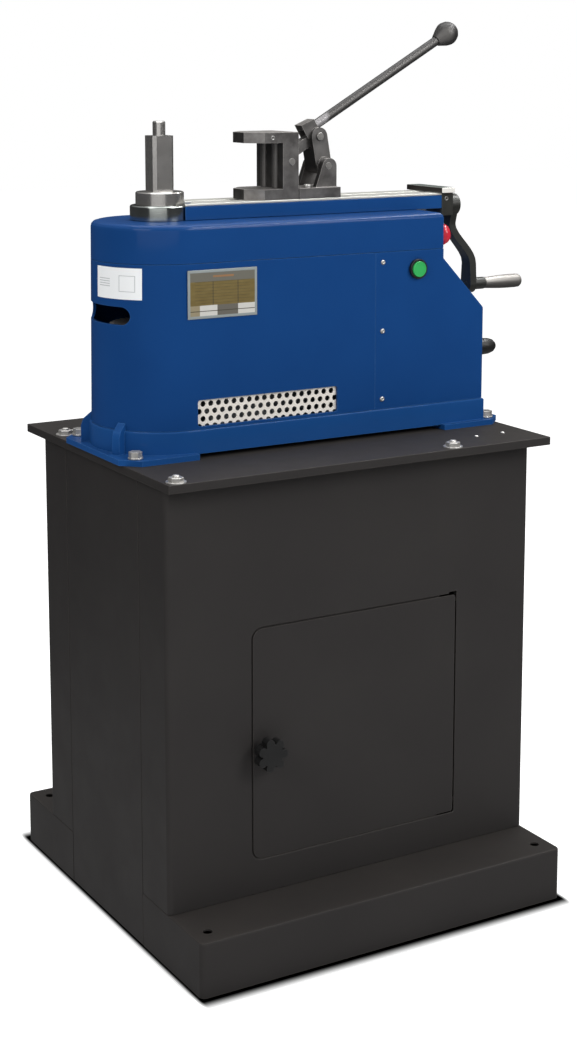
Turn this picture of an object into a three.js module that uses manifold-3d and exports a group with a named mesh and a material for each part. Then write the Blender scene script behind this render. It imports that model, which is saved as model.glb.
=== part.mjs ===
// Pipe bending machine on its cabinet stand: a geared spindle, a clamping vice on a screw slide,
// a cast and sheet housing, and a folded steel stand with a door.
// Millimetres, +Z up. The origin lies on the floor under the middle of the stand. +X runs along the
// machine from the spindle to the crank, and the door is on the -Y side.

import * as THREE from "three";
import { mergeVertices } from "three/addons/utils/BufferGeometryUtils.js";
import Module from "manifold-3d";

const wasm = await Module();
wasm.setup();

// Clearances and counts that all pieces share
const seatGap = 0.3; // between two pieces that are fastened together
const runGap = 0.3; // between two pieces that slide or turn on each other
const pinGap = 0.15; // round a pin in its bore
const overrun = 6; // how far a cutting body reaches past what it cuts
const coarseSides = 12;
const roundSides = 20;
const fineSides = 32;
const planSides = 24; // the housing's round end
const barSides = 16;
const eyeSides = 10; // each end of a strap
const slotSides = 5; // each quarter of a slot or of a door's corner
const foldSides = 3; // each fold of the sheet
const hexSides = 6;
const edgeSteps = 2; // a small rounded edge
const crownSteps = 3; // the casting's rounded edge

// Stand: folded sheet cabinet on two box feet
const standWidth = 600;
const standDepth = 595;
const footHeight = 78;
const bodyDepth = 407;
const bodyHeight = 676;
const sheet = 2.5;
const bendRadius = 8;
const footEdgeRadius = 3;
const seamHalf = 120; // half the depth of the plain side panels, so the seams lie here
const seamGap = 1.4;
const ledgeTuck = 50; // how far a foot's ledge reaches in under the body
const footHoleInset = 25;
const footHoleDepthInset = 30;
const footHoleRadius = 7;
const floorHoleRadius = 6;
const plateWidth = 623;
const plateDepth = 477;
const plateThick = 12;
const shelfHeight = 300;
const shelfFront = 16; // the shelf's front edge stays this far behind the panel
const shelfLip = 16;

// Door in the front panel
const doorWidth = 338;
const doorHeight = 332;
const doorCentreX = 1;
const doorCentreZ = 296;
const doorCorner = 14;
const hingeCorner = 4; // the door's corners next to the pivots
const doorSheet = 2;
const doorGap = 2.5;
const stopWidth = 9;
const stopThick = 2;
const stopReach = 12; // how far the stop laps behind the panel round the doorway
const notchWide = 13; // the doorway's notch over the upper pivot
const notchHigh = 2.5;
const pivotInset = 4; // from the door's right edge to its pivot axis
const pivotDepth = 5.5; // from the door's face back to its pivot axis
const pivotRadius = 2.5;
const lugWidth = 11;
const lugThick = 3;
const bracketClear = 7.5; // keeps the bracket's arm behind the door's swinging edge
const bracketReach = 11;
const bracketHeight = 24;
const bracketWidth = 26;
const knobInset = 16; // from the door's left edge to the knob's axis
const knobDrop = 8; // from the door's middle down to the knob's axis
const knobRadius = 19;
const knobLobeRadius = 6.5;
const knobLobes = 7;
const knobHead = 15;
const knobStand = 13; // from the door's face to the knob's head
const knobStem = 5;
const knobHub = 11;
const camLength = 28;
const camWidth = 14;
const camThick = 3;

// Machine housing, measured up from the stand's plate and across from the machine's middle plane
const machineForward = 10; // how far the machine stands towards the door side
const housingHalf = 99.5; // half the depth, and the radius of the round end
const spindleX = -207;
const coverRight = 283;
const shoulderX = 207.5; // the upper end wall
const slopeTop = 255.5;
const slopeFoot = 175.5;
const coverLeft = 89;
const skirtFoot = 6.4;
const bandTop = 40;
const bandProud = 2.5;
const frameWall = 7;
const frameFloor = 8;
const seamZ = 270;
const housingTop = 323;
const endLean = 0.013; // the round end draws in by this share of the height
const leanLevel = 80;
const housingWall = 4;
const castingWall = 6;
const castingTop = 8;
const topFillet = 8;
const coverCorner = 5;
const coverWall = 3;
const ribTurn = 150; // degrees round the spindle, from the crank's side to each rib
const ribHalf = 6;
const ribTuck = 1; // how far a rib's root lies inside the housing's radius
const ribProfile = [[15.6, 30.7], [12.6, 39.7], [0, 50.7]]; // out from that radius, and height
const padInner = 205;
const padOuter = 317;
const padHalf = 112;
const padChamfer = 24;
const padThick = 8;
const padBoltX = 294;
const padBoltY = 93;
const boltRadius = 6;
const boltHead = 9.5;
const boltHeadHigh = 8;
const washerRadius = 10.5;
const washerThick = 2;
const slotHalfWidth = 61;
const slotHigh = 25;
const slotCentre = 198.3;
const slotReach = 60;
const windowLeft = -201;
const windowRight = 25;
const windowFoot = 44;
const windowTop = 81;
const windowCorner = 4;
const grilleThick = 1.5;
const grilleLap = 6;
const grillePitch = 12.2;
const grilleHole = 3.6;
const grilleHoleSides = 6;
const nameplateLeft = -216;
const nameplateRight = -108;
const nameplateFoot = 194;
const nameplateTop = 261;
const nameplateThick = 1.2;

// Spindle and its drive
const shaftRadius = 24;
const shaftFoot = 20;
const ringRadius = 42;
const ringTop = 344;
const flangeRadius = 34;
const flangeTop = 362.5;
const squareSide = 32;
const squareChamfer = 4.2;
const squareTop = 440;
const pinRadius = 9;
const pinTop = 460;
const pinChamfer = 1.5;
const ringChamfer = 1.5;
const bearingOuter = 38;
const bearingHigh = 18;
const bearingLip = 12;
const toothModule = 3.5;
const gearTeeth = 40;
const pinionTeeth = 16;
const backlash = 0.5;
const pressureAngle = 20;
const addendumShare = 0.9; // of the module
const dedendumShare = 1.2;
const flankShares = [0, 0.55, 1]; // how far up the flank its points lie
const gearFoot = 150;
const gearTop = 178;
const pinionShaft = 11;
const pinionShaftTop = 186;
const pinionShaftDeep = 14;
const gearboxTop = 140;
const gearboxHalf = 52;
const gearboxLeft = -165;
const gearboxRight = -53;
const gearboxCorner = 12;
const motorAxis = 86;
const motorFlange = 62;
const motorFlangeThick = 9;
const motorCore = 52;
const motorFin = 7;
const motorFins = 20;
const finShares = [0, 0.62, 0.72, 0.9]; // of one fin's pitch: groove, flank, top
const motorRight = 118;
const fanRadius = 60;
const fanRight = 150;
const fanCone = 6;
const motorFootLeft = 20;
const motorFootRight = 88;
const motorFootHalf = 44;

// Slide on top of the housing, with its screw and crank
const railHalf = 40;
const railTop = 343;
const railRight = 245;
const railRelief = 2.5; // from the bearing ring to the hollow end of the rail
const channelHalf = 14;
const channelLeft = -150;
const stripThick = 3;
const stripSlotHalf = 8;
const screwAxis = 325;
const screwRadius = 8;
const journalRadius = 6;
const journalDeep = 10;
const thrustRadius = 10;
const thrustThick = 4;
const screwEnd = 298;
const endBlockRight = 266;
const endBlockFoot = 312;
const endPlateHalf = 47.5;
const endPlateLeft = 240;
const endPlateRight = 264;
const endPlateThick = 8;
const crankRadius = 125;
const hubRadius = 16.5;
const hubLeft = 270.3;
const hubRight = 297;
const armThick = 11.5;
const armTopX = 288;
const armFootX = 325.5;
const armBendTop = 28; // below the screw's axis
const armBendFoot = 92;
const armSteps = 8;
const armHubHalf = 14.5;
const armWaistHalf = 7.2;
const armWaistDrop = 31; // from the screw's axis to the narrowest place
const armEndHalf = 13.5;
const gripPin = 5;
const gripCollar = 9.5;
const gripLeft = 354;
const gripRight = 424;
const gripRadius = 10.8;
const gripNeck = 8.6;
const gripPinShort = 9;
const gripSwellShare = 0.8; // of the swelling stretch, past which the grip is at its full radius
const gripSwellEndShare = 0.86; // of the grip's length
const gripEndShares = [[0.72, 0.985], [0.95, 0.94]]; // the round end, as radius and length
const gripSteps = 8;

// Vice on the slide: carriage with ears, die holder, link and clamp lever
const carriageLeft = -3.5;
const carriageRight = 66;
const carriageThick = 15;
const earLeft = 31;
const earThick = 9;
const earHalf = 28.5;
const earRadius = 12;
const earSweep = 158; // degrees that the ear's round top runs through
const pivotX = 52;
const pivotZ = 392;
const leverPinRadius = 5;
const leverPinProud = 1;
const tongueLeft = 8;
const tongueRight = 52;
const nutHalf = 12.5;
const nutFoot = 312;
const nutTop = 337;
const holderTip = -81.5;
const holderHalf = 38.5;
const holderShoulder = -60;
const holderRight = -4;
const holderTipHalf = 16;
const webLeft = -30;
const armHigh = 15;
const holderTop = 442;
const holderTongueLeft = -60;
const holderTongueFoot = 336;
const jawBarRadius = 6;
const jawBarOffset = 16.5;
const jawBarSink = 1; // how far a bar's middle lies inside the web
const linkPinX = -15.4;
const linkPinZ = 400;
const linkPinRadius = 5;
const linkHalf = 7;
const linkEyeHolder = 9;
const linkEyeLever = 7;
const linkPlay = 1; // free play of the link on the holder's pin
const linkSlotUnder = 3.7; // room in the holder's slot below the link and above it
const linkSlotOver = 7.2;
const linkSlotDeep = 10.6;
const bossBack = 7.4; // the boss that takes the link, measured from the lever's pivot
const bossRise = 42;
const bossX = pivotX - bossBack;
const bossZ = pivotZ + bossRise;
const bossRadius = 13;
const bossPinRadius = 4;
const bossPinHead = 5.6;
const bossPinProud = 2.5;
const cheekHalf = 16;
const leverHubHalf = 19;
const forkHalf = 7.8;
const forkUnder = 0.3; // room below the link where it leaves the fork
const forkAbove = 8; // the fork's slot, measured from the boss
const forkBehind = 8.4;
const linkRise = (bossZ - linkPinZ) / (bossX - linkPinX);
const linkUpright = linkEyeHolder * Math.hypot(1, linkRise); // half the height of the leaning link
const linkClimb = linkRise * (holderRight - linkPinX); // from its pin to the holder's end
const linkSlotBelow = linkUpright + linkSlotUnder - Math.min(linkClimb, 0);
const linkSlotAbove = linkUpright + linkSlotOver + Math.max(linkClimb, 0);
const forkBelow = linkRise * bossRadius + linkUpright + forkUnder;
const headLead = 10.1; // from the boss to the middle of the lever's head, on the bar's axis
const headLift = 9.1;
const headX = bossX - headLead;
const headZ = bossZ + headLift;
const headLong = 23;
const headAbove = 11.5;
const headBelow = 8;
const headHalf = 10;
const headRise = 3; // the head's back end stands this much taller
const barAngle = 29.9; // degrees above level
const barRadius = 7;
const studStart = 6.6; // along the bar from the middle of the lever's head
const studRadius = 4.5;
const barEnd = 266;
const barKnobRadius = 18;
const barKnobCentre = 280;
const barKnobNeck = 8.5;
const barKnobFoot = 258;
const barKnobArcStart = -28; // degrees below the knob's equator, where its neck ends
const barKnobSteps = 7;

// Controls and the cable inlet
const buttonX = 161;
const buttonZ = 242.5;
const bezelRadius = 14.8;
const bezelProud = 5;
const bezelCup = 11.8;
const bezelCupDeep = 4.4;
const barrelRadius = 11;
const barrelDeep = 34;
const buttonRadius = 11.5;
const buttonHigh = 4;
const buttonTravel = 2.2;
const stemRadius = 6;
const stemDeep = 30;
const stopY = -68;
const stopZ = 287.5;
const stopRadius = 16;
const stopHigh = 17;
const stopTravel = 4;
const stopShares = [[0.8, 0], [1, 0.35], [1, 0.6], [0.85, 0.9], [0.45, 1]]; // of its radius and height
const glandY = -70;
const glandZ = 113;
const glandHex = 13.6;
const glandHexThick = 7;
const glandNut = 12.6;
const glandNeck = 9;
const glandReach = 40;
const glandBore = 5;
const glandShares = [[1, 0.42], [0.95, 0.65], [0.78, 0.87], [0.5, 1]]; // of the nut's radius and length

// Materials
function finish(color, roughness, metalness) {
  return new THREE.MeshStandardMaterial({ color, roughness, metalness });
}

const blackPaint = finish(0x2b2a2a, 0.6, 0.1);
const bluePaint = finish(0x17468a, 0.4, 0.1);
const brightSteel = finish(0xb9bbbb, 0.3, 0.9);
const darkSteel = finish(0x4a4846, 0.45, 0.8);
const perforated = finish(0xe6e1da, 0.5, 0.3);
const plateFinish = finish(0x8a7c55, 0.45, 0.5);
const blackPlastic = finish(0x161616, 0.5, 0.0);
const greenPlastic = finish(0x2fae4d, 0.4, 0.0);
const redPlastic = finish(0xc8192b, 0.4, 0.0);
const castGrey = finish(0x6d7073, 0.6, 0.4);
const zincPlate = finish(0xc9cbcc, 0.35, 0.8);

// Geometry helpers
const weld = 1e-4;
const toY = new THREE.Matrix4().makeBasis(
  new THREE.Vector3(1, 0, 0), new THREE.Vector3(0, 0, 1), new THREE.Vector3(0, -1, 0));
const toX = new THREE.Matrix4().makeBasis(
  new THREE.Vector3(0, 1, 0), new THREE.Vector3(0, 0, 1), new THREE.Vector3(1, 0, 0));

function solid(geometry) {
  geometry.deleteAttribute("normal");
  geometry.deleteAttribute("uv");
  const bare = mergeVertices(geometry, weld);
  return new wasm.Manifold(new wasm.Mesh({
    numProp: 3,
    vertProperties: new Float32Array(bare.attributes.position.array),
    triVerts: new Uint32Array(bare.index.array),
  }));
}

function box(x0, x1, y0, y1, z0, z1) {
  const geometry = new THREE.BoxGeometry(x1 - x0, y1 - y0, z1 - z0);
  return solid(geometry.translate((x0 + x1) / 2, (y0 + y1) / 2, (z0 + z1) / 2));
}

function slabZ(shape, z0, z1, curveSegments = coarseSides) {
  const geometry = new THREE.ExtrudeGeometry(shape, { depth: z1 - z0, bevelEnabled: false, curveSegments });
  return solid(geometry.translate(0, 0, z0));
}

// A slab whose outline is drawn in X and Z
function slabY(shape, y0, y1, curveSegments = coarseSides) {
  const geometry = new THREE.ExtrudeGeometry(shape, { depth: y1 - y0, bevelEnabled: false, curveSegments });
  return solid(geometry.applyMatrix4(toY).translate(0, y1, 0));
}

// A slab whose outline is drawn in Y and Z
function slabX(shape, x0, x1, curveSegments = coarseSides) {
  const geometry = new THREE.ExtrudeGeometry(shape, { depth: x1 - x0, bevelEnabled: false, curveSegments });
  return solid(geometry.applyMatrix4(toX).translate(x0, 0, 0));
}

// A slab with its upper edge rounded: the lower half of the bevel is cut away
function crownedZ(insetShape, z0, z1, radius, steps, curveSegments = coarseSides) {
  const geometry = new THREE.ExtrudeGeometry(insetShape, {
    depth: z1 - z0, bevelEnabled: true, bevelSize: radius, bevelThickness: radius,
    bevelSegments: steps, curveSegments,
  });
  geometry.translate(0, 0, z0 - radius);
  geometry.computeBoundingBox();
  const { min, max } = geometry.boundingBox;
  const upper = box(min.x - overrun, max.x + overrun, min.y - overrun, max.y + overrun, z0, z1);
  return solid(geometry).intersect(upper);
}

function rodZ(x, y, radius, z0, z1, sides = roundSides) {
  const geometry = new THREE.CylinderGeometry(radius, radius, z1 - z0, sides);
  return solid(geometry.rotateX(Math.PI / 2).translate(x, y, (z0 + z1) / 2));
}

function rodX(y, z, radius, x0, x1, sides = roundSides) {
  const geometry = new THREE.CylinderGeometry(radius, radius, x1 - x0, sides);
  return solid(geometry.rotateZ(-Math.PI / 2).translate((x0 + x1) / 2, y, z));
}

function rodY(x, z, radius, y0, y1, sides = roundSides) {
  return solid(new THREE.CylinderGeometry(radius, radius, y1 - y0, sides).translate(x, (y0 + y1) / 2, z));
}

// A body turned about Z from [radius, height] pairs
function turned(profile, sides = roundSides) {
  const points = profile.map(([radius, height]) => new THREE.Vector2(radius, height));
  return new THREE.LatheGeometry(points, sides).rotateX(Math.PI / 2);
}

// Lays a body that was turned about Z down along X
function laidX(geometry, x, y, z) {
  return geometry.rotateX(-Math.PI / 2).rotateZ(-Math.PI / 2).translate(x, y, z);
}

function outline(points) {
  return new THREE.Shape(points.map(([a, b]) => new THREE.Vector2(a, b)));
}

function roundedRectangle(left, right, foot, top, radius, rightRadius = radius) {
  const shape = new THREE.Shape();
  shape.moveTo(left + radius, foot);
  shape.lineTo(right - rightRadius, foot);
  shape.absarc(right - rightRadius, foot + rightRadius, rightRadius, -Math.PI / 2, 0);
  shape.lineTo(right, top - rightRadius);
  shape.absarc(right - rightRadius, top - rightRadius, rightRadius, 0, Math.PI / 2);
  shape.lineTo(left + radius, top);
  shape.absarc(left + radius, top - radius, radius, Math.PI / 2, Math.PI);
  shape.lineTo(left, foot + radius);
  shape.absarc(left + radius, foot + radius, radius, Math.PI, 1.5 * Math.PI);
  return shape;
}

// The outline of a belt drawn tight round two circles
function strap(a0, b0, r0, a1, b1, r1) {
  const lie = Math.atan2(b1 - b0, a1 - a0);
  const wrap = Math.acos((r0 - r1) / Math.hypot(a1 - a0, b1 - b0));
  const shape = new THREE.Shape();
  shape.absarc(a0, b0, r0, lie + wrap, lie - wrap + 2 * Math.PI);
  shape.absarc(a1, b1, r1, lie - wrap, lie + wrap);
  return shape;
}

// The housing's outline seen from above: a round left end and a square right end
function housingPlan(grow, right, cornerRadius = 0) {
  const half = housingHalf + grow;
  const corner = Math.max(cornerRadius, weld);
  const shape = new THREE.Shape();
  shape.moveTo(spindleX, -half);
  shape.lineTo(right - corner, -half);
  if (cornerRadius > 0) shape.absarc(right - corner, corner - half, corner, -Math.PI / 2, 0);
  else shape.lineTo(right, -half);
  shape.lineTo(right, half - corner);
  if (cornerRadius > 0) shape.absarc(right - corner, half - corner, corner, 0, Math.PI / 2);
  else shape.lineTo(right, half);
  shape.lineTo(spindleX, half);
  shape.absarc(spindleX, 0, half, Math.PI / 2, 1.5 * Math.PI);
  return shape;
}

// Draws the round end in as it rises
function leaned(geometry) {
  const places = geometry.attributes.position;
  for (let index = 0; index < places.count; index++) {
    if (places.getX(index) > spindleX + weld) continue;
    places.setX(index, places.getX(index) + endLean * (places.getZ(index) - leanLevel));
  }
  return geometry;
}

function housingSlab(grow, right, z0, z1, cornerRadius = 0) {
  const depth = z1 - z0;
  const shape = housingPlan(grow, right, cornerRadius);
  const geometry = new THREE.ExtrudeGeometry(shape, { depth, bevelEnabled: false, curveSegments: planSides });
  return solid(leaned(geometry.translate(0, 0, z0)));
}

// The same with its upper edge rounded: the lower half of the bevel is cut away
function housingCrown(grow, right, z0, z1, radius, steps) {
  const geometry = new THREE.ExtrudeGeometry(housingPlan(grow - radius, right - radius), {
    depth: z1 - z0, bevelEnabled: true, bevelSize: radius, bevelThickness: radius,
    bevelSegments: steps, curveSegments: planSides,
  });
  leaned(geometry.translate(0, 0, z0 - radius));
  const reach = housingHalf + grow + overrun;
  return solid(geometry).intersect(box(spindleX - reach - overrun, right + overrun, -reach, reach, z0, z1));
}

function piece(group, name, body, material) {
  let geometry = body;
  if (!body.isBufferGeometry) {
    const { vertProperties, triVerts } = body.getMesh();
    geometry = new THREE.BufferGeometry();
    geometry.setAttribute("position", new THREE.BufferAttribute(new Float32Array(vertProperties), 3));
    geometry.setIndex(new THREE.BufferAttribute(new Uint32Array(triVerts), 1));
  }
  const mesh = new THREE.Mesh(geometry, material);
  mesh.name = name;
  group.add(mesh);
  return mesh;
}

const group = new THREE.Group();
const halfWidth = standWidth / 2;
const halfDepth = standDepth / 2;
const bodyFront = -bodyDepth / 2;
const doorLeft = doorCentreX - doorWidth / 2;
const doorRight = doorCentreX + doorWidth / 2;
const doorFoot = doorCentreZ - doorHeight / 2;
const doorTop = doorCentreZ + doorHeight / 2;

// Stand: the pan that it stands on, with its four floor holes
function addBasePan() {
  const reach = halfWidth - sheet - seatGap;
  const depthReach = halfDepth - sheet - seatGap;
  const corner = bendRadius - sheet;
  let pan = slabZ(roundedRectangle(-reach, reach, -depthReach, depthReach, corner), 0, sheet, foldSides);
  for (const sx of [-1, 1]) for (const sy of [-1, 1]) {
    const x = sx * (halfWidth - footHoleInset);
    const y = sy * (halfDepth - footHoleDepthInset);
    pan = pan.subtract(rodZ(x, y, floorHoleRadius, -overrun, sheet + overrun, coarseSides));
  }
  piece(group, "base_pan", pan, blackPaint);
}

// A foot is a folded box, open underneath and towards the cabinet. Side is -1 at the front, 1 at the back
function addFoot(name, side) {
  const seam = seamHalf + seamGap;
  const inset = footEdgeRadius;
  const y0 = side < 0 ? -halfDepth : seam;
  const y1 = side < 0 ? -seam : halfDepth;
  const depthShape = roundedRectangle(
    inset - halfWidth, halfWidth - inset, inset - halfDepth, halfDepth - inset, bendRadius - inset);
  let foot = crownedZ(depthShape, 0, footHeight, footEdgeRadius, edgeSteps, foldSides);
  const reach = halfWidth + overrun;
  foot = foot.intersect(box(-reach, reach, y0, y1, -overrun, footHeight + overrun));
  const inner = roundedRectangle(
    sheet - halfWidth, halfWidth - sheet, sheet - halfDepth, halfDepth - sheet, bendRadius - sheet);
  foot = foot.subtract(slabZ(inner, -overrun, footHeight - sheet, foldSides));
  const ledgeEnd = bodyDepth / 2 - ledgeTuck;
  const cutNear = side < 0 ? -ledgeEnd : 0;
  const cutFar = side < 0 ? 0 : ledgeEnd;
  const inside = halfWidth - sheet;
  foot = foot.subtract(box(-inside, inside, cutNear, cutFar, 0, footHeight + overrun));
  for (const sx of [-1, 1]) {
    const x = sx * (halfWidth - footHoleInset);
    const y = side * (halfDepth - footHoleDepthInset);
    const holeFoot = footHeight - sheet - overrun;
    foot = foot.subtract(rodZ(x, y, footHoleRadius, holeFoot, footHeight + overrun, coarseSides));
  }
  const notchTop = footHeight + overrun;
  for (const sx of [-1, 1]) {
    const xs = [sx * (halfWidth - sheet - seatGap), sx * (halfWidth + overrun)].sort((a, b) => a - b);
    const ys = [side * seam, side * (seam - overrun)].sort((a, b) => a - b);
    foot = foot.subtract(box(xs[0], xs[1], ys[0], ys[1], -overrun, notchTop));
  }
  piece(group, name, foot, blackPaint);
}

// A folded wall: its face and two returns that run back to the seams
function wallBody(side) {
  const foot = footHeight + seatGap;
  const top = bodyHeight - seatGap;
  const seam = seamHalf + seamGap;
  const front = bodyDepth / 2;
  const outer = roundedRectangle(-halfWidth, halfWidth, -front, front, bendRadius);
  const inner = roundedRectangle(
    sheet - halfWidth, halfWidth - sheet, sheet - front, front - sheet, bendRadius - sheet);
  const shell = slabZ(outer, foot, top, foldSides)
    .subtract(slabZ(inner, foot - overrun, top + overrun, foldSides));
  const y0 = side < 0 ? -front - overrun : seam;
  const y1 = side < 0 ? -seam : front + overrun;
  const reach = halfWidth + overrun;
  return shell.intersect(box(-reach, reach, y0, y1, foot - overrun, top + overrun));
}

function addFrontPanel() {
  let wall = wallBody(-1);
  const back = bodyFront + sheet;
  const lap = roundedRectangle(
    doorLeft - doorGap - stopReach, doorRight + doorGap, doorFoot - doorGap - stopReach,
    doorTop + doorGap + stopReach, doorCorner);
  const clear = stopWidth - doorGap;
  const view = roundedRectangle(
    doorLeft + clear, doorRight + doorGap + overrun, doorFoot + clear, doorTop - clear, doorCorner - clear);
  let stop = slabY(lap, back - weld, back + stopThick, foldSides)
    .subtract(slabY(view, back - overrun, back + overrun, foldSides));
  const hingeStart = doorRight - bracketWidth;
  const hingeEnd = doorRight + standWidth;
  stop = stop.subtract(box(hingeStart, hingeEnd, back - overrun, back + overrun, 0, bodyHeight));
  const right = doorRight + doorGap;
  const top = doorTop + doorGap;
  const opening = roundedRectangle(
    doorLeft - doorGap, right, doorFoot - doorGap, top, doorCorner + doorGap, doorGap);
  wall = wall.subtract(slabY(opening, bodyFront - overrun, back + weld, slotSides))
    .subtract(box(right - notchWide, right, bodyFront - overrun, back + weld, doorTop, top + notchHigh));
  piece(group, "front_panel", wall.add(stop), blackPaint);
}

function addStandBody() {
  addBasePan();
  addFoot("front_foot", -1);
  addFoot("back_foot", 1);
  addFrontPanel();
  piece(group, "back_panel", wallBody(1), blackPaint);
  for (const [name, sx] of [["left_side_panel", -1], ["right_side_panel", 1]]) {
    const xs = [sx * (halfWidth - sheet), sx * halfWidth].sort((a, b) => a - b);
    piece(group, name, box(xs[0], xs[1], -seamHalf, seamHalf, 0, bodyHeight - seatGap), blackPaint);
  }
  const reach = halfWidth - sheet - seatGap;
  const front = bodyFront + sheet + shelfFront;
  const back = bodyDepth / 2 - sheet - seatGap;
  const foot = shelfHeight - shelfLip;
  const outer = roundedRectangle(-reach, reach, front, back, bendRadius);
  const inner = roundedRectangle(
    sheet - reach, reach - sheet, front + sheet, back - sheet, bendRadius - sheet);
  const tray = slabZ(outer, foot, shelfHeight, foldSides)
    .subtract(slabZ(inner, foot - overrun, shelfHeight - sheet, foldSides));
  piece(group, "stand_shelf", tray, blackPaint);
  const plateX = plateWidth / 2;
  const plateY = plateDepth / 2;
  const plate = box(-plateX, plateX, -plateY, plateY, bodyHeight, bodyHeight + plateThick);
  piece(group, "top_plate", plate, blackPaint);
}

// Door: a flush sheet on two pivot pins at its right edge, with a lobed knob that turns a cam
const hingeX = doorRight - pivotInset;
const hingeY = bodyFront + pivotDepth;
const knobX = doorLeft + knobInset;
const knobZ = doorCentreZ - knobDrop;

function addDoor() {
  const skinBack = bodyFront + doorSheet;
  const face = roundedRectangle(doorLeft, doorRight, doorFoot, doorTop, doorCorner, hingeCorner);
  let door = slabY(face, bodyFront, skinBack, slotSides);
  const lugLeft = hingeX - lugWidth + pivotInset;
  for (const [name, end] of [["door_pivot_lower", -1], ["door_pivot_upper", 1]]) {
    const edge = end < 0 ? doorFoot + doorCorner : doorTop - doorCorner;
    const lugs = [edge, edge - end * lugThick].sort((a, b) => a - b);
    door = door.add(box(lugLeft, doorRight, skinBack - weld, hingeY + pivotInset, lugs[0], lugs[1]));
    const boreRadius = pivotRadius + pinGap;
    door = door.subtract(
      rodZ(hingeX, hingeY, boreRadius, lugs[0] - overrun, lugs[1] + overrun, coarseSides));
    addPivot(name, end, edge);
  }
  const knobHole = rodY(
    knobX, knobZ, knobStem + runGap, bodyFront - overrun, skinBack + overrun, coarseSides);
  piece(group, "door_panel", door.subtract(knobHole), blackPaint);
  addDoorKnob();
}

// A pivot: a pin that drops into the door's lug, on a bracket fixed behind the panel
function addPivot(name, end, edge) {
  const panelBack = bodyFront + sheet + seatGap;
  const tabNear = edge + end * runGap;
  const tabFar = tabNear + end * lugThick;
  const tab = [tabNear, tabFar].sort((a, b) => a - b);
  const tabBack = hingeY + bracketReach;
  const leafLeft = doorRight + doorGap + seatGap;
  const leafRight = leafLeft + bracketWidth;
  const tabHalf = pivotDepth - doorSheet - pinGap; // inside the swing of the door's skin
  const bracket = box(hingeX - tabHalf, leafRight, hingeY + bracketClear, tabBack, tab[0], tab[1])
    .add(box(hingeX - tabHalf, hingeX + pivotRadius, hingeY, tabBack, tab[0], tab[1]))
    .add(rodZ(hingeX, hingeY, tabHalf, tab[0], tab[1], coarseSides));
  const leafZ = [tabNear, tabNear + end * bracketHeight].sort((a, b) => a - b);
  const leaf = box(leafLeft + overrun, leafRight, panelBack, tabBack, leafZ[0], leafZ[1]);
  const pinEnds = [edge - end * lugThick, tabFar].sort((a, b) => a - b);
  const pin = rodZ(hingeX, hingeY, pivotRadius, pinEnds[0], pinEnds[1], coarseSides);
  piece(group, name, bracket.add(leaf).add(pin), zincPlate);
}

function addDoorKnob() {
  const face = bodyFront - knobStand;
  let knob = rodY(knobX, knobZ, knobRadius - knobLobeRadius / 2, face - knobHead, face, roundSides);
  for (let lobe = 0; lobe < knobLobes; lobe++) {
    const turn = (2 * Math.PI * lobe) / knobLobes;
    const x = knobX + (knobRadius - knobLobeRadius / 4) * Math.cos(turn);
    const z = knobZ + (knobRadius - knobLobeRadius / 4) * Math.sin(turn);
    knob = knob.add(rodY(x, z, knobLobeRadius, face - knobHead, face, coarseSides));
  }
  knob = knob.add(rodY(knobX, knobZ, knobHub, face - weld, bodyFront - seatGap, roundSides));
  const camFront = bodyFront + sheet + stopThick + runGap;
  const camBack = camFront + camThick;
  knob = knob.add(rodY(knobX, knobZ, knobStem, face, camBack + camThick, coarseSides));
  piece(group, "door_knob", knob, blackPlastic);
  const camShape = strap(knobX, knobZ, camWidth / 2, knobX, knobZ + camLength, camWidth / 2);
  const cam = slabY(camShape, camFront, camBack, slotSides)
    .subtract(rodY(knobX, knobZ, knobStem + pinGap, camFront - overrun, camBack + overrun, coarseSides));
  piece(group, "latch_cam", cam, zincPlate);
}

// Machine: everything above the plate hangs in this group
const machine = new THREE.Group();
machine.position.set(0, -machineForward, bodyHeight + plateThick + seatGap);
group.add(machine);

function padShape(side) {
  const points = [
    [padInner, -padHalf], [padOuter - padChamfer, -padHalf], [padOuter, padChamfer - padHalf],
    [padOuter, padHalf - padChamfer], [padOuter - padChamfer, padHalf], [padInner, padHalf],
  ].map(([x, y]) => [side * x, y]);
  return outline(side < 0 ? points.reverse() : points);
}

// A rib that props the round end on its pad, cut clear of the sheet shell above the band
function ribBody(side) {
  const root = housingHalf - ribTuck;
  const slope = ribProfile.map(([out, height]) => [housingHalf + out, height]);
  const [widest] = slope;
  const highest = slope[slope.length - 1];
  const shape = outline([[root, 0], [widest[0], 0], ...slope, [root, highest[1]]]);
  return slabY(shape, -ribHalf, ribHalf)
    .rotate([0, 0, side * ribTurn])
    .translate([spindleX, 0, 0])
    .subtract(housingSlab(seatGap, coverRight, bandTop, highest[1] + overrun));
}

function addBaseFrame() {
  let frame = housingCrown(bandProud, coverRight, skirtFoot, bandTop, bandProud, edgeSteps);
  const innerRight = coverRight - frameWall;
  const frameInside = skirtFoot + frameFloor;
  frame = frame.subtract(
    housingSlab(bandProud - frameWall, innerRight, frameInside, bandTop + overrun));
  for (const side of [-1, 1]) {
    frame = frame.add(slabZ(padShape(side), 0, padThick)).add(ribBody(side));
  }
  const holeRadius = boltRadius + seatGap;
  for (const sx of [-1, 1]) for (const sy of [-1, 1]) {
    frame = frame.subtract(
      rodZ(sx * padBoltX, sy * padBoltY, holeRadius, -overrun, padThick + overrun, coarseSides));
  }
  piece(machine, "base_frame", frame, bluePaint);
}

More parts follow.
